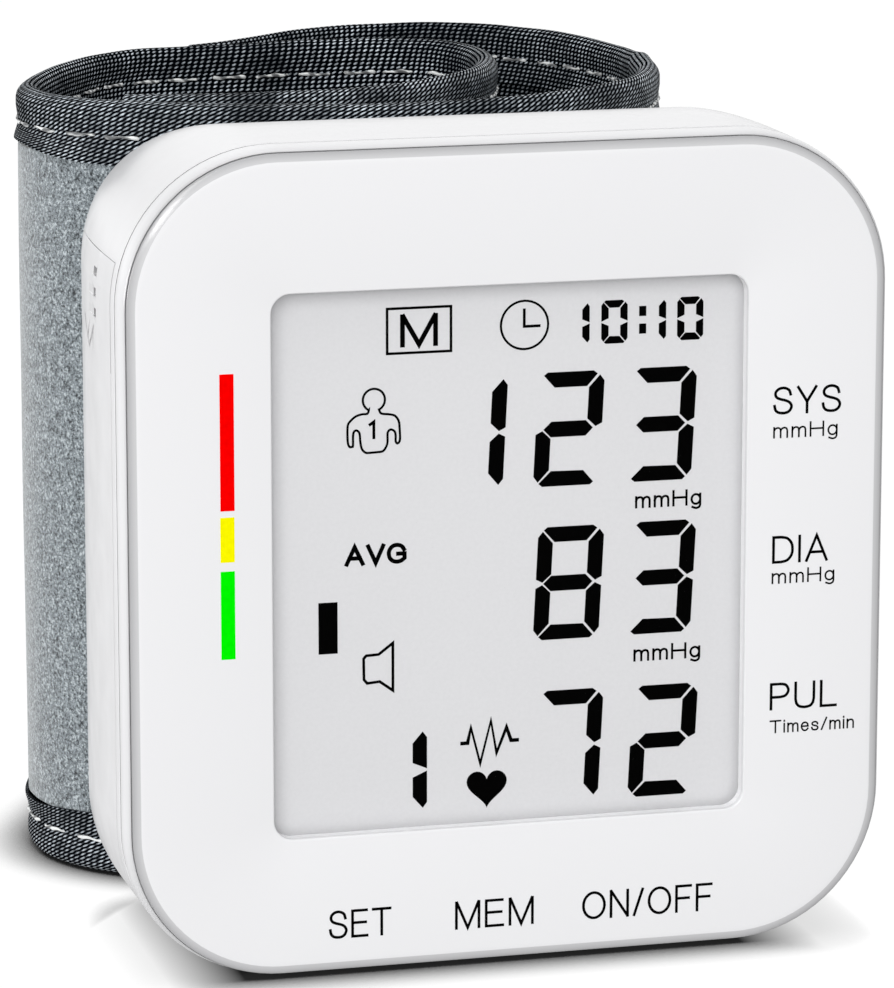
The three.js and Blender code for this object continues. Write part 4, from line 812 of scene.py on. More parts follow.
lines = [((0, 0, z), (0, 0, 1)) for z in (ARROW_TIP - 0.3, ARROW_TOP + 0.3, 64.07, 66.02, 68)]
lines += [((0, depth - STAND_DEPTH, 0), (0, 1, 0)) for depth in (NOTCH[0] - 0.2, grip_end + 0.2)]
for point, across in lines:
    bmesh.ops.bisect_plane(grid, geom=grid.verts[:] + grid.edges[:] + grid.faces[:],
                           plane_co=[v * MM for v in point], plane_no=across)
grid.to_mesh(door.data)
grid.free()
door_shell = dress("door_shell", soften(door, 0.05, 50), case_white, "battery_door", ["battery_door"])


# Painted shade: the deep notches and the arrow dark, the shallow grooves a little darker, the front edge dark.
def door_shade(depth, sunk, z):
    in_grip = (depth > NOTCH[0] - 0.3) & (depth < grip_end + 0.3) & (z > ARROW_TIP - 0.3) & (sunk < 1.4)
    sunken = np.where(sunk > 0.22, 0.4, np.where(sunk > 0.07, 0.9, 1))
    edge = (depth < DOOR_FRONT + 0.03) & (sunk > 0.05) & (sunk < 1.5)
    return np.where(in_grip, sunken, np.where(edge, 0.5, 1))


store_shade(door_shell, hard=door_shade)

# %% [markdown]
# Marks on the display and the face are thin flat prisms, 0.02 mm thick, like a layer of ink. Lines
# and letters are ribbons of even width with mitred corners. A font would be quicker, but a small table
# of strokes gives the plain round letters of such a device and sets their weight exactly.

# %% Drawing helpers
INK = 0.02
DISPLAY_DEPTH = 2.5


def merged(shapes):
    points, faces = [], []
    for more_points, more_faces in shapes:
        start = len(points)
        points += list(more_points)
        faces += [tuple(i + start for i in face) for face in more_faces]
    return points, faces


def prism(polygons, depth):
    """Flat polygons [(x, z), ...] as closed prisms that stand INK proud of a plane."""
    shapes = []
    for polygon in polygons:
        area = sum(a[0] * b[1] - b[0] * a[1] for a, b in zip(polygon, polygon[1:] + polygon[:1]))
        shapes.append(extruded(np.array(polygon if area > 0 else polygon[::-1], float), depth - INK, depth))
    return merged(shapes)


def ribbon(path, width, closed=False):
    """Quads along a path, with mitred corners."""
    path = np.array(path, float)
    after = np.roll(path, -1, axis=0) - path
    after /= np.linalg.norm(after, axis=1)[:, None]
    before = np.roll(after, 1, axis=0)
    if not closed:
        before[0], after[-1] = after[0], before[-1]
    normals = [np.column_stack([-along[:, 1], along[:, 0]]) for along in (before, after)]
    across = normals[0] + normals[1]
    across /= np.linalg.norm(across, axis=1)[:, None]
    mitre = np.minimum(1 / np.maximum((across * normals[0]).sum(axis=1), 0.3), 2.5)
    reach = across * mitre[:, None] * width / 2
    left, right = path + reach, path - reach
    pairs = [(i, (i + 1) % len(path)) for i in range(len(path) if closed else len(path) - 1)]
    return [[left[i], left[j], right[j], right[i]] for i, j in pairs]


def circle(x, z, radius, steps=40):
    return [(x + radius * math.cos(2 * math.pi * i / steps), z + radius * math.sin(2 * math.pi * i / steps))
            for i in range(steps)]


def rounded(points, steps=4):
    """A smooth curve through the points, for letters."""
    p = np.array([points[0], *points, points[-1]], float)
    curve = []
    for i in range(1, len(p) - 2):
        for t in np.arange(steps) / steps:
            curve.append(0.5 * (2 * p[i] + (p[i + 1] - p[i - 1]) * t
                                + (2 * p[i - 1] - 5 * p[i] + 4 * p[i + 1] - p[i + 2]) * t * t
                                + (3 * p[i] - p[i - 1] - 3 * p[i + 1] + p[i + 2]) * t ** 3))
    return [tuple(q) for q in curve] + [points[-1]]


BEND = [(0, 0.45), (0.06, 0.62), (0.19, 0.7), (0.31, 0.64), (0.35, 0.47)]
ESS = [(0.66, 0.74), (0.61, 0.89), (0.5, 0.97), (0.36, 1), (0.2, 0.97), (0.08, 0.87), (0.05, 0.74),
       (0.12, 0.62), (0.28, 0.55), (0.46, 0.5), (0.62, 0.42), (0.7, 0.28), (0.66, 0.13), (0.54, 0.03),
       (0.37, 0), (0.18, 0.03), (0.06, 0.13), (0.02, 0.29)]
OVAL = [(0.43 + 0.43 * math.cos(a / 24 * math.pi), 0.5 + 0.5 * math.sin(a / 24 * math.pi)) for a in range(50)]
STEM = [(0, 0), (0, 1)]
SMALL_STEM = [(0, 0), (0, 0.71)]
LETTERS = {  # strokes of each letter, capitals from 0 to 1
    "S": [rounded(ESS)], "s": [[(0.62 * x, 0.71 * z) for x, z in rounded(ESS)]], "O": [OVAL],
    "I": [STEM], "L": [[(0, 1), (0, 0), (0.54, 0)]], "V": [[(0, 1), (0.36, 0), (0.72, 1)]],
    "Y": [[(0, 1), (0.36, 0.42), (0.72, 1)], [(0.36, 0.42), (0.36, 0)]],
    "M": [STEM, [(0.02, 1), (0.42, 0), (0.82, 1)], [(0.84, 1), (0.84, 0)]],
    "D": [STEM + rounded([(0.28, 1), (0.52, 0.94), (0.68, 0.74), (0.72, 0.5), (0.68, 0.26), (0.52, 0.06),
                          (0.28, 0)]) + [(0, 0)]],
    "A": [[(0, 0), (0.38, 1), (0.76, 0)], [(0.14, 0.33), (0.62, 0.33)]],
    "T": [[(0, 1), (0.72, 1)], [(0.36, 1), (0.36, 0)]],
    "P": [STEM + rounded([(0.34, 1), (0.54, 0.95), (0.64, 0.74), (0.54, 0.53), (0.34, 0.47)]) + [(0, 0.47)]],
    "U": [[(0, 1), (0, 0.35)] + rounded([(0.03, 0.18), (0.13, 0.05), (0.34, 0), (0.55, 0.05), (0.65, 0.18)])
          + [(0.68, 0.35), (0.68, 1)]],
    "E": [[(0.6, 1), (0, 1), (0, 0), (0.62, 0)], [(0, 0.53), (0.56, 0.53)]],
    "F": [[(0.58, 1), (0, 1), (0, 0)], [(0, 0.52), (0.5, 0.52)]],
    "N": [STEM, [(0.01, 1), (0.67, 0)], [(0.68, 0), (0.68, 1)]], "/": [[(0, 0), (0.34, 1)]],
    "H": [STEM, [(0.68, 0), (0.68, 1)], [(0, 0.53), (0.68, 0.53)]],
    "G": [rounded([(0.73, 0.72), (0.62, 0.91), (0.4, 1), (0.18, 0.93), (0.04, 0.73), (0, 0.5), (0.05, 0.24),
                   (0.2, 0.06), (0.42, 0), (0.62, 0.07), (0.76, 0.2)]) + [(0.76, 0.47), (0.45, 0.47)]],
    "m": [SMALL_STEM, rounded(BEND) + [(0.35, 0)], [(x + 0.35, z) for x, z in rounded(BEND)] + [(0.7, 0)]],
    "n": [SMALL_STEM, [(x * 1.2, z) for x, z in rounded(BEND)] + [(0.42, 0)]],
    "i": [SMALL_STEM, [(0, 0.95), (0, 0.98)]],
    "g": [[(0.52 * x, 0.02 + 0.68 * z) for x, z in OVAL],
          [(0.45, 0.71)] + rounded([(0.45, -0.02), (0.4, -0.2), (0.24, -0.28), (0.05, -0.2)])],
    "e": [[(0.01, 0.38), (0.46, 0.38)]
          + rounded([(0.43, 0.58), (0.34, 0.68), (0.23, 0.71), (0.1, 0.65), (0.01, 0.48), (0.01, 0.27),
                     (0.1, 0.07), (0.24, 0), (0.36, 0.04), (0.45, 0.17)])],
}
LETTER_SPACE = 0.27


def lettering(text, x0, x1, base, cap, width):
    """Ribbons for a line of text from x0 to x1, with its capitals cap high and strokes width wide."""
    strokes, at = [], 0
    for sign in text:
        strokes += [[(at + x, z) for x, z in stroke] for stroke in LETTERS[sign]]
        at += max(x for stroke in LETTERS[sign] for x, z in stroke) + LETTER_SPACE
    stretch = (x1 - x0 - width) / (at - LETTER_SPACE)
    found = []
    for stroke in strokes:
        line = np.array([(x0 + width / 2 + x * stretch, base + width / 2 + z * (cap - width))
                         for x, z in stroke])
        closed = np.allclose(line[0], line[-1])
        if closed:
            line = line[:-1]
        else:
            for end, beside in ((0, 1), (-1, -2)):
                away = line[end] - line[beside]
                line[end] += away / np.linalg.norm(away) * width / 2
        found += ribbon(line, width, closed)
    return found


def printed_piece(name, polygons, recipe, slot, depth=0):
    points, faces = prism(polygons, depth)
    print(name, "faces", len(faces))
    return piece(name, points, faces, recipe, "housing", slot)


# %% [markdown]
# Seven-segment figures: each segment is a polygon with cut corners, a hair's breadth from the next.
# The figures lean a little to the right. The table says which segments a figure lights.

# %% Display figures
LIT = {"0": "abcdef", "1": "bc", "2": "abged", "3": "abgcd", "7": "abc", "8": "abcdefg"}
FULL_BAR = 1.48  # mm, width of a segment in the large figures


def figure(sign, right, low, width, height, bar=FULL_BAR, lean=0.05, open_middle=False):
    """Polygons of one figure. right and low: its right edge at the top and its lowest level."""
    k = bar / FULL_BAR
    w, h, c, wide = width, height, height / 2, width / k
    slot = 0.12 * k
    level_shapes = (
        ("a", h, [(0.53, -0.3), (0.9, 0), (wide - 1.1, 0), (wide - 0.7, -0.3), (wide - 1.7, -1.48),
                  (1.65, -1.48)]),
        ("d", 0, [(0.53, 0.3), (0.9, 0), (wide - 0.9, 0), (wide - 0.6, 0.28), (wide - 1.65, 1.43),
                  (1.7, 1.48)]),
        ("g", c, [(0.75, 0), (1.5, 0.75), (wide - 1.65, 0.75), (wide - 0.9, 0), (wide - 1.6, -0.75),
                  (1.5, -0.75)]))
    parts = {name: [(x * k, level + up * k) for x, up in shape] for name, level, shape in level_shapes}

    def side(x0, towards, high):
        """Upper (high) or lower upright at an edge; towards points to the figure's inside."""
        def at(inwards, level):
            return (x0 + towards * inwards * k, level)
        shape = [at(0.45, h - 0.42 * k), at(0, h - 1.0 * k)]
        if open_middle:
            shape += [at(0, c + slot), at(1.48, c + 0.75 * k)]
        else:
            shape += [at(0, c + 0.45 * k), at(0.65, c + slot), at(1.5, c + 0.9 * k)]
        shape.append(at(1.48 if open_middle else 1.5, h - 1.6 * k))
        return shape if high else [(x, h - z) for x, z in shape]

    parts.update(b=side(w, -1, True), c=side(w, -1, False), f=side(0, 1, True), e=side(0, 1, False))
    left = right - w - lean * h
    return [[(left + x + lean * z, low + z) for x, z in parts[name]] for name in LIT[sign]]


readings = []
for sign, right, low in (("1", 0.27, 46.12), ("2", 9.82, 46.12), ("3", 19.02, 46.12),
                         ("8", 9.86, 31.1), ("3", 19.08, 31.1), ("7", 9.88, 15.0), ("2", 19.42, 14.9)):
    readings += figure(sign, right, low, 6.55, 11.05)
printed_piece("display_readings", readings, display_black, "display", DISPLAY_DEPTH)

clock_time = []
for sign, right in (("1", 8.26), ("0", 12.02), ("1", 15.85), ("0", 19.56)):
    clock_time += figure(sign, right, 59.68, 2.6, 4.18, 0.72, 0.0, True)
for level in (60.5, 62.2):
    clock_time.append([(13.17, level), (13.87, level), (13.87, level + 0.97), (13.17, level + 0.97)])
clock_time += figure("1", -7.72, 14.9, 5, 8.35, 1.42, 0.0, True)
clock_time.append([(-18.33, 31.05), (-16.47, 31.05), (-16.47, 36.05), (-18.33, 36.05)])
printed_piece("display_small_figures", clock_time, display_black, "display", DISPLAY_DEPTH)

# %% [markdown]
# Small signs tell what a figure means: a memory box, a clock, a person, a loudspeaker, a pulse line
# and a heart. They are plain signs that any such display has, drawn as ribbons of even width.

# %% Display signs
signs = ribbon([(-11.56, 59.72), (-5.35, 59.72), (-5.35, 64.0), (-11.56, 64.0)], 0.25, True)
signs += ribbon(circle(1.85, 61.87, 2.32), 0.22, True)
signs += ribbon([(1.82, 63.45), (1.82, 61.73), (3.42, 61.73)], 0.27)
BODY = ((-0.48, -0.89), (-0.63, -1.28), (-1.13, -1.31), (-1.72, -1.47), (-2.17, -1.8), (-2.49, -2.18),
        (-2.57, -2.68), (-2.57, -3.47), (-2.52, -4.07), (-2.37, -4.38), (-2.17, -4.39), (-2.04, -4.3),
        (-2.04, -3.5), (-1.97, -3.01), (-1.77, -2.84), (-1.53, -2.93), (-1.38, -3.24), (-1.33, -3.94),
        (-1.18, -4.64), (-0.83, -5.01), (-0.43, -5.05), (0.37, -5.02), (0.87, -4.95), (1.17, -4.57),
        (1.32, -4.08), (1.32, -3.28), (1.47, -2.99), (1.71, -2.92), (2.01, -3.12), (2.11, -3.52),
        (2.11, -4.07), (2.26, -4.28), (2.46, -4.14), (2.54, -3.74), (2.49, -2.74), (2.41, -2.14),
        (2.06, -1.62), (1.47, -1.44), (0.72, -1.33), (0.5, -0.94))
head = [(1.07 * math.sin(a), 1.07 * math.cos(a)) for a in np.linspace(math.pi * 0.84, -math.pi * 0.84, 36)]
signs += ribbon([(-12.86 + x, 55.37 + z) for x, z in rounded(head + list(BODY), 3)], 0.22, True)
signs += ribbon([(-13.35, 52.95), (-12.87, 53.28), (-12.87, 51.62)], 0.28)
signs += ribbon([(-13.94, 30.37), (-13.68, 30.65), (-12.47, 30.7), (-11.07, 31.74), (-11.07, 27.09),
                 (-12.37, 28.04), (-13.6, 27.94), (-13.91, 28.32)], 0.27, True)
signs += ribbon([(-4.42, 21.4), (-3.69, 21.4), (-3.36, 22.89), (-2.44, 19.3), (-1.38, 23.48), (-0.82, 20.25),
                 (0.17, 22.73), (0.63, 21.4), (1.42, 21.4)], 0.36)
heart = []
for t in np.arange(48) / 24 * math.pi:
    height = 13 * math.cos(t) - 5 * math.cos(2 * t) - 2 * math.cos(3 * t) - math.cos(4 * t)
    heart.append((2.0 * math.sin(t) ** 3 - 1.79, 17.0 + 0.127 * height))
words = [("M", -10.3, -6.62, 60.27, 3.15, 0.46), ("AVG", -15.75, -9.7, 39.45, 2.03, 0.4),
         ("mmHg", 12.9, 19.55, 43.5, 1.6, 0.22), ("mmHg", 12.85, 19.6, 28.4, 1.6, 0.22)]
for word in words:
    signs += lettering(*word)
printed_piece("display_signs", signs + [heart], display_black, "display", DISPLAY_DEPTH)

# %% [markdown]
# The face carries printed legends beside the rows and over the keys, and a three-colour scale on
# the left. The legends are the plain words that this kind of device uses.

# %% Print on the face
legends = [("SYS", 25.82, 32.72, 52.45, 2.72, 0.27), ("mmHg", 25.9, 32.4, 50.15, 1.5, 0.17),
           ("DIA", 25.95, 31.6, 37.85, 2.72, 0.27), ("mmHg", 25.93, 32.3, 35.85, 1.45, 0.17),
           ("PUL", 25.9, 32.75, 23.3, 2.72, 0.27), ("Times/min", 25.92, 34.55, 21.0, 1.3, 0.16),
           ("SET", -18.1, -11.9, 3.65, 2.8, 0.27), ("MEM", -5.6, 2.25, 3.65, 2.8, 0.27),
           ("ON/OFF", 7.1, 20.3, 3.65, 2.8, 0.27)]
printed_piece("face_legends", [part for word in legends for part in lettering(*word)], ink_black, "panel")
SCALE_WIDTH = 1.35
for name, recipe, x, low, high in (("scale_red", ink_red, -28.27, 46.0, 59.0),
                                   ("scale_yellow", ink_yellow, -28.3, 41.09, 45.38),
                                   ("scale_green", ink_green, -28.3, 31.75, 40.22)):
    bar = [(x, low), (x + SCALE_WIDTH, low), (x + SCALE_WIDTH, high), (x, high)]
    printed_piece(name, [bar], recipe, "panel")

# %% [markdown]
# The cuff is one band that runs in a spiral behind the case. Its centre line, seen from above, is a
# table of points with a smooth curve through them. From that line every layer of cloth follows:
# a layer is a section, given as distance outwards and height, swept along the line.

# %% Centre line of the cuff
ROLL_LEFT, ROLL_FRONT, ROLL_WIDTH, ROLL_DEPTH = -36.3, 31.2, 68.7, 66.8
CUFF_LINE = ((0.116, 0.175), (0.208, 0.16), (0.317, 0.157), (0.426, 0.171), (0.521, 0.205), (0.61, 0.265),
             (0.68, 0.341), (0.731, 0.443), (0.755, 0.554), (0.751, 0.647), (0.712, 0.711), (0.642, 0.743),
             (0.536, 0.749), (0.419, 0.738), (0.317, 0.734), (0.231, 0.713), (0.16, 0.654), (0.093, 0.552),
             (0.035, 0.437), (0.003, 0.335), (0.012, 0.243), (0.058, 0.157), (0.141, 0.091), (0.255, 0.042),
             (0.392, 0.01), (0.534, 0), (0.645, 0.015), (0.741, 0.057), (0.828, 0.12), (0.901, 0.205),
             (0.953, 0.316), (0.985, 0.467))
TAIL_LINE = ((0.985, 0.467), (0.993, 0.59), (0.972, 0.716), (0.932, 0.832), (0.869, 0.928), (0.785, 0.985),
             (0.686, 0.994), (0.587, 0.961), (0.496, 0.9), (0.418, 0.834), (0.345, 0.795))


def smooth_line(shares, step):
    """Points (x, y) every step mm along a centripetal curve, their outward directions and lengths."""
    knots = np.array(shares) * (ROLL_WIDTH, ROLL_DEPTH) + (ROLL_LEFT, ROLL_FRONT - STAND_DEPTH)
    knots = np.vstack([2 * knots[0] - knots[1], knots, 2 * knots[-1] - knots[-2]])
    dense = []
    for i in range(1, len(knots) - 2):
        p = knots[i - 1:i + 3]
        t = np.concatenate([[0], np.cumsum(np.linalg.norm(np.diff(p, axis=0), axis=1) ** 0.5)])
        for s in np.linspace(t[1], t[2], 40, endpoint=False):
            level = list(p)
            for reach, first in ((1, 0), (2, 0), (1, 1)):  # three rounds of blending neighbours
                level = [(t[j + reach] - s) / (t[j + reach] - t[j]) * level[k]
                         + (s - t[j]) / (t[j + reach] - t[j]) * level[k + 1]
                         for k, j in enumerate(range(first, first + len(level) - 1))]
            dense.append(level[0])
    dense = np.array(dense + [knots[-2]])
    length = np.concatenate([[0], np.cumsum(np.linalg.norm(np.diff(dense, axis=0), axis=1))])
    wanted = np.linspace(0, length[-1], int(round(length[-1] / step)) + 1)
    line = np.column_stack([np.interp(wanted, length, dense[:, k]) for k in (0, 1)])
    along = np.gradient(line, axis=0)
    along /= np.linalg.norm(along, axis=1)[:, None]
    return line, np.column_stack([along[:, 1], -along[:, 0]]), wanted


CLOTH_STEP = 1.0
cuff_line = smooth_line(CUFF_LINE, CLOTH_STEP)
tail_line = smooth_line(TAIL_LINE, CLOTH_STEP)
TAIL_SPLIT = 0.4
print("cuff length", round(cuff_line[2][-1], 1), "mm, tail", round(tail_line[2][-1], 1), "mm")

# %% [markdown]
# Real cloth is never quite even. A small sum of sine waves, the same on every run, bends each layer
# by a tenth of a millimetre or so.

# %% Layers of cloth
WAVES = ((0.21, 0.05, 1.0), (0.47, 0.13, 0.6), (0.93, 0.31, 0.35), (0.11, 0.22, 0.8))  # along, up, share


def unevenness(length, level, seed):
    """A smooth value from -1 to 1 over length and height, both in mm."""
    total = np.zeros(np.broadcast(length, level).shape)
    for k, (a, b, c) in enumerate(WAVES):
        total = total + c * np.sin(a * length + b * level * (1 if k % 2 else -1) + seed * (1.7 + k))
    return total / sum(share for _, _, share in WAVES)


OUTER_RIDGES, INNER_RIDGES = 0.62, 0.3


def cloth_layer(name, line, section, recipe, body, slot, replaces, wave=0.0, seed=0.0, shape=None, rising=1):
    """section: (out, z) round a closed outline that starts upwards (rising 1) or downwards (-1) on its
    outer side. shape(length, out, z) may move the points."""
    centre, outward, length = line
    section = np.array(section, float)
    around = np.concatenate([[0], np.cumsum(np.linalg.norm(np.diff(section, axis=0), axis=1))])
    out = np.broadcast_to(section[:, 0], (len(centre), len(section)))
    z = np.broadcast_to(section[:, 1], out.shape)
    run = np.broadcast_to(length[:, None], out.shape)
    if shape:
        out, z = shape(run, out, z)
    bend = wave * unevenness(run, z, seed)
    x = centre[:, None, 0] + outward[:, None, 0] * (out + bend)
    y = centre[:, None, 1] + outward[:, None, 1] * (out + bend)
    rings = [np.column_stack([x[i], y[i], z[i]]) for i in range(len(centre))]
    points, faces = joined(rings)
    ridges = np.where(out > 0, OUTER_RIDGES, INNER_RIDGES)
    cloth = np.column_stack([run.ravel(), np.broadcast_to(rising * around, out.shape).ravel(), ridges.ravel()])
    made = piece(name, points, faces, recipe, body, slot, replaces, {"cloth": cloth}, sharp=70)
    print(name, "points", len(points))
    return made


def sheet_section(near, far, low, high, steps):
    """A flat layer, with many points on both faces."""
    levels = np.linspace(low, high, steps + 1)
    return [(far, z) for z in levels] + [(near, z) for z in levels[::-1]]


CUFF_HEIGHT, HEM_HEIGHT, STITCH_INSET = 79.6, 6.4, 3.6
TAIL_LOW, TAIL_HEIGHT = 0.4, 78.8
print("cloth helpers ready")

# %% [markdown]
# The band has two faces: grey loop fabric outside, woven nylon inside, with the air bladder between
# them. The fabric is a sheet held flat between its hems, so it is swept, not simulated; the fine
# pile is left to the material, and a very slight swelling between the hems shows that it is padded.

# %% Cuff fabric, lining and bladder
BAND_HALF, OUTER, LINING = 1.1, 0.5, 0.4
COVERED = 0.5  # mm of each layer that the binding covers
SWELLING = 0.06
PILE_ROWS = 40


def swelling(low, high):
    def shape(run, out, z):
        share = np.clip((z - low) / (high - low), 0, 1)
        return out + np.sign(out) * SWELLING * (np.sin(share * math.pi) ** 0.5 - 0.5), z
    return shape


def two_faces(prefix, line, half, bottom, top, body, wave, seed):
    """Loop fabric outside and woven lining inside, between the bindings of a band from bottom to top."""
    low, high = bottom + HEM_HEIGHT - COVERED, top - HEM_HEIGHT + COVERED
    for part, stands_for, near, far, recipe, slot in (
            ("loop_fabric", "outer_fabric", half - OUTER, half, loop_pile, "loop"),
            ("woven_lining", "lining", -half, LINING - half, nylon_weave, "weave")):
        section = sheet_section(near, far, low, high, PILE_ROWS)
        cloth_layer(f"{prefix}_{part}", line, section, recipe, body, slot, [f"{prefix}_{stands_for}"],
                    wave, seed, swelling(low, high))


two_faces("cuff", cuff_line, BAND_HALF, 0.0, CUFF_HEIGHT, "housing", 0.05, 1.0)
BLADDER_RUN = (0.34, 0.93)  # shares of the band's length
BLADDER_SIDE = [(0.1, 13), (0.42, 16), (0.45, 28), (0.42, 40), (0.45, 52), (0.42, 63.6), (0.1, 66.6)]
first, last = (int(share * len(cuff_line[0])) for share in BLADDER_RUN)
bladder_line = tuple(part[first:last] for part in cuff_line)
bladder_section = BLADDER_SIDE + [(-out, z) for out, z in BLADDER_SIDE[::-1]]
bladder = cloth_layer("air_bladder", bladder_line, bladder_section, air_film, "housing", "bladder",
                      ["cuff_bladder"])

# %% [markdown]
# A strip of the same nylon is folded over both long edges and sewn down. The seam pulls the strip
# in, so the fold above it stands round and full and the free edge below it flares out. The section
# is drawn with that waist, and the waist deepens at each stitch.

# %% Bindings
HEM_CLOTH = 0.35
HEM_SIDE = (  # beyond the hem's half thickness, below its edge
    (0.34, HEM_HEIGHT), (0.33, 6.1), (0.21, 5.3), (0.05, 4.3), (-0.05, STITCH_INSET), (0.03, 2.9), (0.12, 2.1),
    (0.12, 1.4))
FOLD_DEPTH, FOLD_STEPS = 1.4, 10
STITCH_PITCH, STITCH_LENGTH = 4.9, 4.0
HEM_HALF, TAIL_HEM_HALF = 1.1, 0.9
SEAM_PULL, SEAM_WIDTH, FREE_FROM, EDGE_WAVE, HEM_WAVE = 0.1, 0.6, 4.2, 0.12, 0.04  # mm
LEFT_FOLD, FOLD_PULL = cuff_line[2][np.argmin(cuff_line[0][:, 0])], 0.9  # place along the band, and mm


def hem_section(half, edge, direction):
    side = [(half + more, down) for more, down in HEM_SIDE]
    belly = half + HEM_SIDE[-1][0]
    for i in range(1, FOLD_STEPS + 1):
        angle = i / FOLD_STEPS * math.pi / 2
        side.append((belly * math.cos(angle), FOLD_DEPTH * (1 - math.sin(angle))))
    side[-1] = (0, 0)
    outside = side + [(-out, down) for out, down in side[-2::-1]]
    lining = [(half + more - HEM_CLOTH, down) for more, down in HEM_SIDE[::2]]
    lining.append((0.45 * half, 2.2 * HEM_CLOTH))
    inside = [(-out, down) for out, down in lining] + lining[::-1]
    return [(out, edge - direction * down) for out, down in outside + inside]


def hem_shape(edge, direction, seed, meet=0.0):
    """meet: mm that a thinner hem grows at its start, to meet a fuller one."""
    def shape(run, out, z):
        down = direction * (edge - z)
        stitch = 0.5 - 0.5 * np.cos(2 * math.pi * (run + 0.5 * STITCH_PITCH) / STITCH_PITCH)
        near_seam = np.exp(-((down - STITCH_INSET) / SEAM_WIDTH) ** 2)
        free = np.clip((down - FREE_FROM) / 2, 0, 1)
        moved = out - np.sign(out) * SEAM_PULL * stitch ** 2 * near_seam
        moved = moved + np.sign(out) * free * SEAM_PULL * unevenness(run, 0 * z, seed + 2)
        near_edge = np.clip(1 - down / HEM_HEIGHT, 0, 1)
        lift = direction * EDGE_WAVE * (unevenness(run * 0.8, 0 * z, seed) - 1) * near_edge
        wavy_edge = direction * free * (EDGE_WAVE * unevenness(run * 1.3, 0 * z, seed + 4)
                                        + FOLD_PULL * np.exp(-((run - LEFT_FOLD) / 8) ** 2))
        start = meet * np.exp(-(run / 4) ** 2)
        moved = moved * (1 + start / 2)
        return moved, z + lift + wavy_edge + direction * start * near_edge
    return shape


def hems(prefix, line, half, bottom, top, body, seeds, meet=0.0):
    for name, edge, direction, seed in (("top", top, 1, seeds[0]), ("bottom", bottom, -1, seeds[1])):
        cloth_layer(f"{prefix}_hem_{name}", line, hem_section(half, edge, direction), nylon_weave, body,
                    "weave", [f"{prefix}_binding_{name}"], HEM_WAVE, seed,
                    hem_shape(edge, direction, seed, meet), direction)


hems("cuff", cuff_line, HEM_HALF, 0.0, CUFF_HEIGHT, "housing", (0.3, 1.9))

# %% [markdown]
# The tail is the loose end of the band. It is sewn the same way but thinner, and it swings with
# the hinge that stands for the cloth's bend.

# %% Tail
tail_start = tail_line[0][0] + (tail_line[0][1] - tail_line[0][0]) * TAIL_SPLIT / CLOTH_STEP
tail_line = (np.vstack([tail_start, tail_line[0][1:]]), *tail_line[1:])
TAIL_HALF, TAIL_TOP = 0.8, TAIL_LOW + TAIL_HEIGHT
PATCH_START, PATCH_LOW, PATCH_WIDTH, PATCH_THICK = 0.58, 12, 55.6, 0.6  # a share of the tail, then mm
two_faces("tail", tail_line, TAIL_HALF, TAIL_LOW, TAIL_TOP, "cuff_tail", 0.04, 3.0)
hems("tail", tail_line, TAIL_HEM_HALF, TAIL_LOW, TAIL_TOP, "cuff_tail", (2.3, 4.1), 0.4)
patch_first = int(PATCH_START * len(tail_line[0]))
patch_line = tuple(part[patch_first:-3] for part in tail_line)
hook_face = -TAIL_HALF - 0.1
patch_section = sheet_section(hook_face - PATCH_THICK, hook_face, PATCH_LOW, PATCH_LOW + PATCH_WIDTH, 24)
cloth_layer("tail_hook_patch", patch_line, patch_section, hook_tape,
            "cuff_tail", "hook", ["hook_patch"])

# %% [markdown]
# Where the tail leaves the roll, the cloth folds outwards about an upright line. Two bodies cannot
# share one bending sheet, so two thin curved strips close the fold: one rides on the roll, one on the
# tail, both centred on the fold line. At rest they lie inside the cloth, and they slide out as it opens.

# %% Fold strips
FOLD_LINE = (33.0, 51.85)  # mm, x and y
FOLD_MARGIN, FOLD_TURNS, FOLD_LEVELS = 1.4, 15, 12
fold_angle = math.degrees(math.atan2(cuff_line[0][-1][1] - FOLD_LINE[1], cuff_line[0][-1][0] - FOLD_LINE[0]))
for name, body, first, last, near, far in (  # degrees from the cloth, and radii
        ("fold_strip_roll", "housing", 6, -50, 1.84, 2.06),
        ("fold_strip_tail", "cuff_tail", -6, 68, 2.12, 2.36)):
    turns = np.radians(fold_angle + np.linspace(first, last, FOLD_TURNS))
    ring = np.array([(FOLD_LINE[0] + radius * math.cos(a), FOLD_LINE[1] + radius * math.sin(a))
                     for radius, part in ((near, turns), (far, turns[::-1])) for a in part])
    points, faces = joined([np.column_stack([ring, np.full(len(ring), z)])
                            for z in np.linspace(FOLD_MARGIN, CUFF_HEIGHT - FOLD_MARGIN, FOLD_LEVELS)])
    cloth = np.column_stack([points[:, 0] * 2, points[:, 2], np.full(len(points), INNER_RIDGES)])
    piece(name, points, faces, nylon_weave, body, "weave", (), {"cloth": cloth}, sharp=60)
print("fold strips at", FOLD_LINE)

# %% [markdown]
# White thread runs along the bindings in long running stitches, on both faces of the band. Each
# stitch is a short tube that rises out of the cloth, lies on it, and dips back in.

# %% Stitches
THREAD_RADIUS = 0.15
THREAD_SIDES, THREAD_RINGS = 6, 17
SEAM_MARGIN = 2.0
STITCH_SHIFT, STITCH_TILT, STITCH_LIFT = 0.25, 0.12, 0.05  # mm along the seam, from end to end, and across it
SUNK_THREAD, THREAD_RISE = 0.4, 0.43  # how deep a stitch starts in the cloth, and how far it comes up


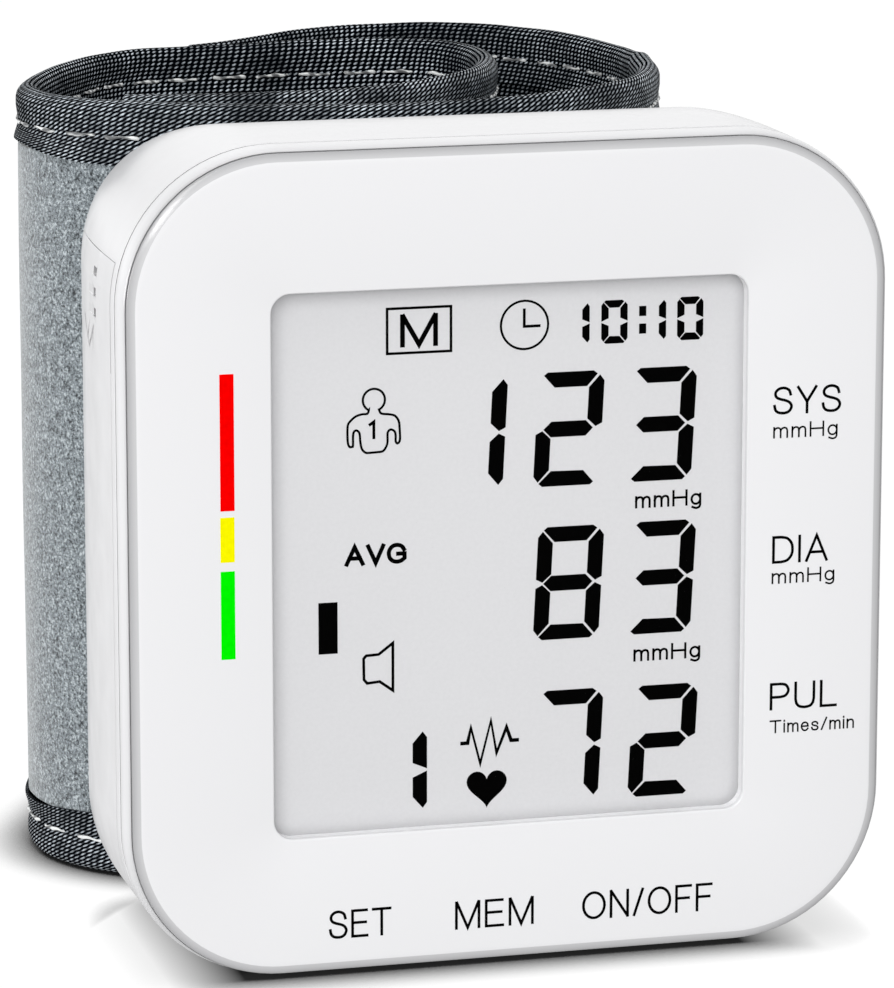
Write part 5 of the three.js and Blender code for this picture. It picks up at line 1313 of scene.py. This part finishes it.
def stitches(name, line, half, edge, direction, body, seed):
    centre, outward, length = line
    starts = np.arange(SEAM_MARGIN, length[-1] - STITCH_LENGTH - SEAM_MARGIN, STITCH_PITCH)
    tubes = []
    for side in (1, -1):
        for s, start in enumerate(starts):
            start = start + STITCH_SHIFT * math.sin(s * 3.7 + seed)
            tilt, shift = STITCH_TILT * math.sin(s * 2.3 + seed), STITCH_LIFT * math.sin(s * 1.7)
            rings = []
            for r in range(THREAD_RINGS):
                t = r / (THREAD_RINGS - 1)
                at = start + t * STITCH_LENGTH
                rise = min(1, 9 * t, 9 * (1 - t))
                out = side * (half - SUNK_THREAD + THREAD_RISE * rise)
                middle, normal = (np.array([np.interp(at, length, part[:, k]) for k in (0, 1)])
                                  for part in (centre, outward))
                middle, normal = middle + normal * out, np.array([*normal, 0]) * side
                ripple = 0.05 * math.sin(t * 7 + s * 1.9) + 0.03 * math.sin(t * 17 + s * 4.3 + seed)
                z = edge - direction * (STITCH_INSET + tilt * (t - 0.5) + shift + ripple)
                radius = THREAD_RADIUS * (0.9 + 0.3 * math.sin(t * 9 + s * 2.1 + seed))
                turns = np.arange(THREAD_SIDES)[:, None] / THREAD_SIDES * 2 * math.pi
                rings.append([*middle, z] + radius * (np.cos(turns) * normal + np.sin(turns) * [0, 0, 1.15]))
            tubes.append(joined(rings))
    piece(name, *merged(tubes), sewing, body, "weave")
    print(name, "stitches", len(tubes))


for prefix, line, half, bottom, top, body, seed in (
        ("cuff", cuff_line, HEM_HALF, 0.0, CUFF_HEIGHT, "housing", 0.0),
        ("tail", tail_line, TAIL_HEM_HALF, TAIL_LOW, TAIL_TOP, "cuff_tail", 2.0)):
    stitches(f"{prefix}_stitches_top", line, half, top, 1, body, seed)
    stitches(f"{prefix}_stitches_bottom", line, half, bottom, -1, body, seed + 1)

# %% [markdown]

# %% [markdown]
# The floor is plain and pale. It has to look white and still keep a soft dark shadow where the case
# and the cuff touch it. Strong lamps would burn the plastic out, so the card is almost black and glows
# white for the camera, and an ambient occlusion node takes the glow away where something stands close:
# a painted shadow. For other rays it glows evenly, as painted bounce light.

# %% Floor
HALF = 3000.0  # mm
corners = [(-HALF, -HALF, 0), (HALF, -HALF, 0), (HALF, HALF, 0), (-HALF, HALF, 0)]
floor = new_object("floor", new_mesh("floor", corners, [(0, 1, 2, 3)]))
card = Recipe("white_card", grey(0.03), 0.9)
card.set("Base Color", card.ramp(card.noise(3, 2), (0.3, grey(0.028)), (0.7, grey(0.032))))
card.set("Specular IOR Level", 0.0)
# Painted bounce light: for every ray but camera and transmission rays the card glows at this strength.
BOUNCE = 0.5
NEAR_SHADOW = 0.0062
SLANT_FROM, SLANT = 0.031, 1.3  # metres; places under the case's rounded corners, where the shadow is paler
LEFT_CORNER, BEHIND = (-0.0335, -0.026), (0.0185, 0.022)
RIGHT_CORNER, LEFT_SIDE = (0.0235, 0.031), (-0.042, -0.0365)
# Painted shadow: ambient occlusion darkens the camera's glow near the case and the cuff.
closeness = card.node("AmbientOcclusion", {"Distance": NEAR_SHADOW}, output="AO", samples=10)
shadow = card.math("POWER", card.spread(closeness, 0.42, 0.97, 0, 1), 1.1)
across, away, _ = card.split(card.place())
behind = card.math("SUBTRACT", away, card.math("MULTIPLY", card.math("ADD", across, SLANT_FROM), SLANT))
# The painted shadow is made paler by place: under the case's corners and beside the cuff.
left_corner = card.math("MULTIPLY", card.spread(across, *LEFT_CORNER, 1, 0), card.spread(behind, *BEHIND, 1, 0))
right_corner = card.spread(across, *RIGHT_CORNER, 0, 0.9)
left_side = card.spread(across, *LEFT_SIDE, 0.85, 0)
lifted = card.math("MAXIMUM", card.math("MAXIMUM", left_corner, left_side), right_corner)
glow = card.math("MAXIMUM", shadow, card.math("MULTIPLY", lifted, card.spread(shadow, 0, 1, 0.8, 1)))
card.set("Emission Color", (1, 1, 1, 1))
card.set("Emission Strength", card.node("Mix", {0: card.seen("Camera", "Transmission"), 2: BOUNCE, 3: glow}))
only_material(floor.data, card)
print("floor is", 2 * HALF * MM, "m wide")
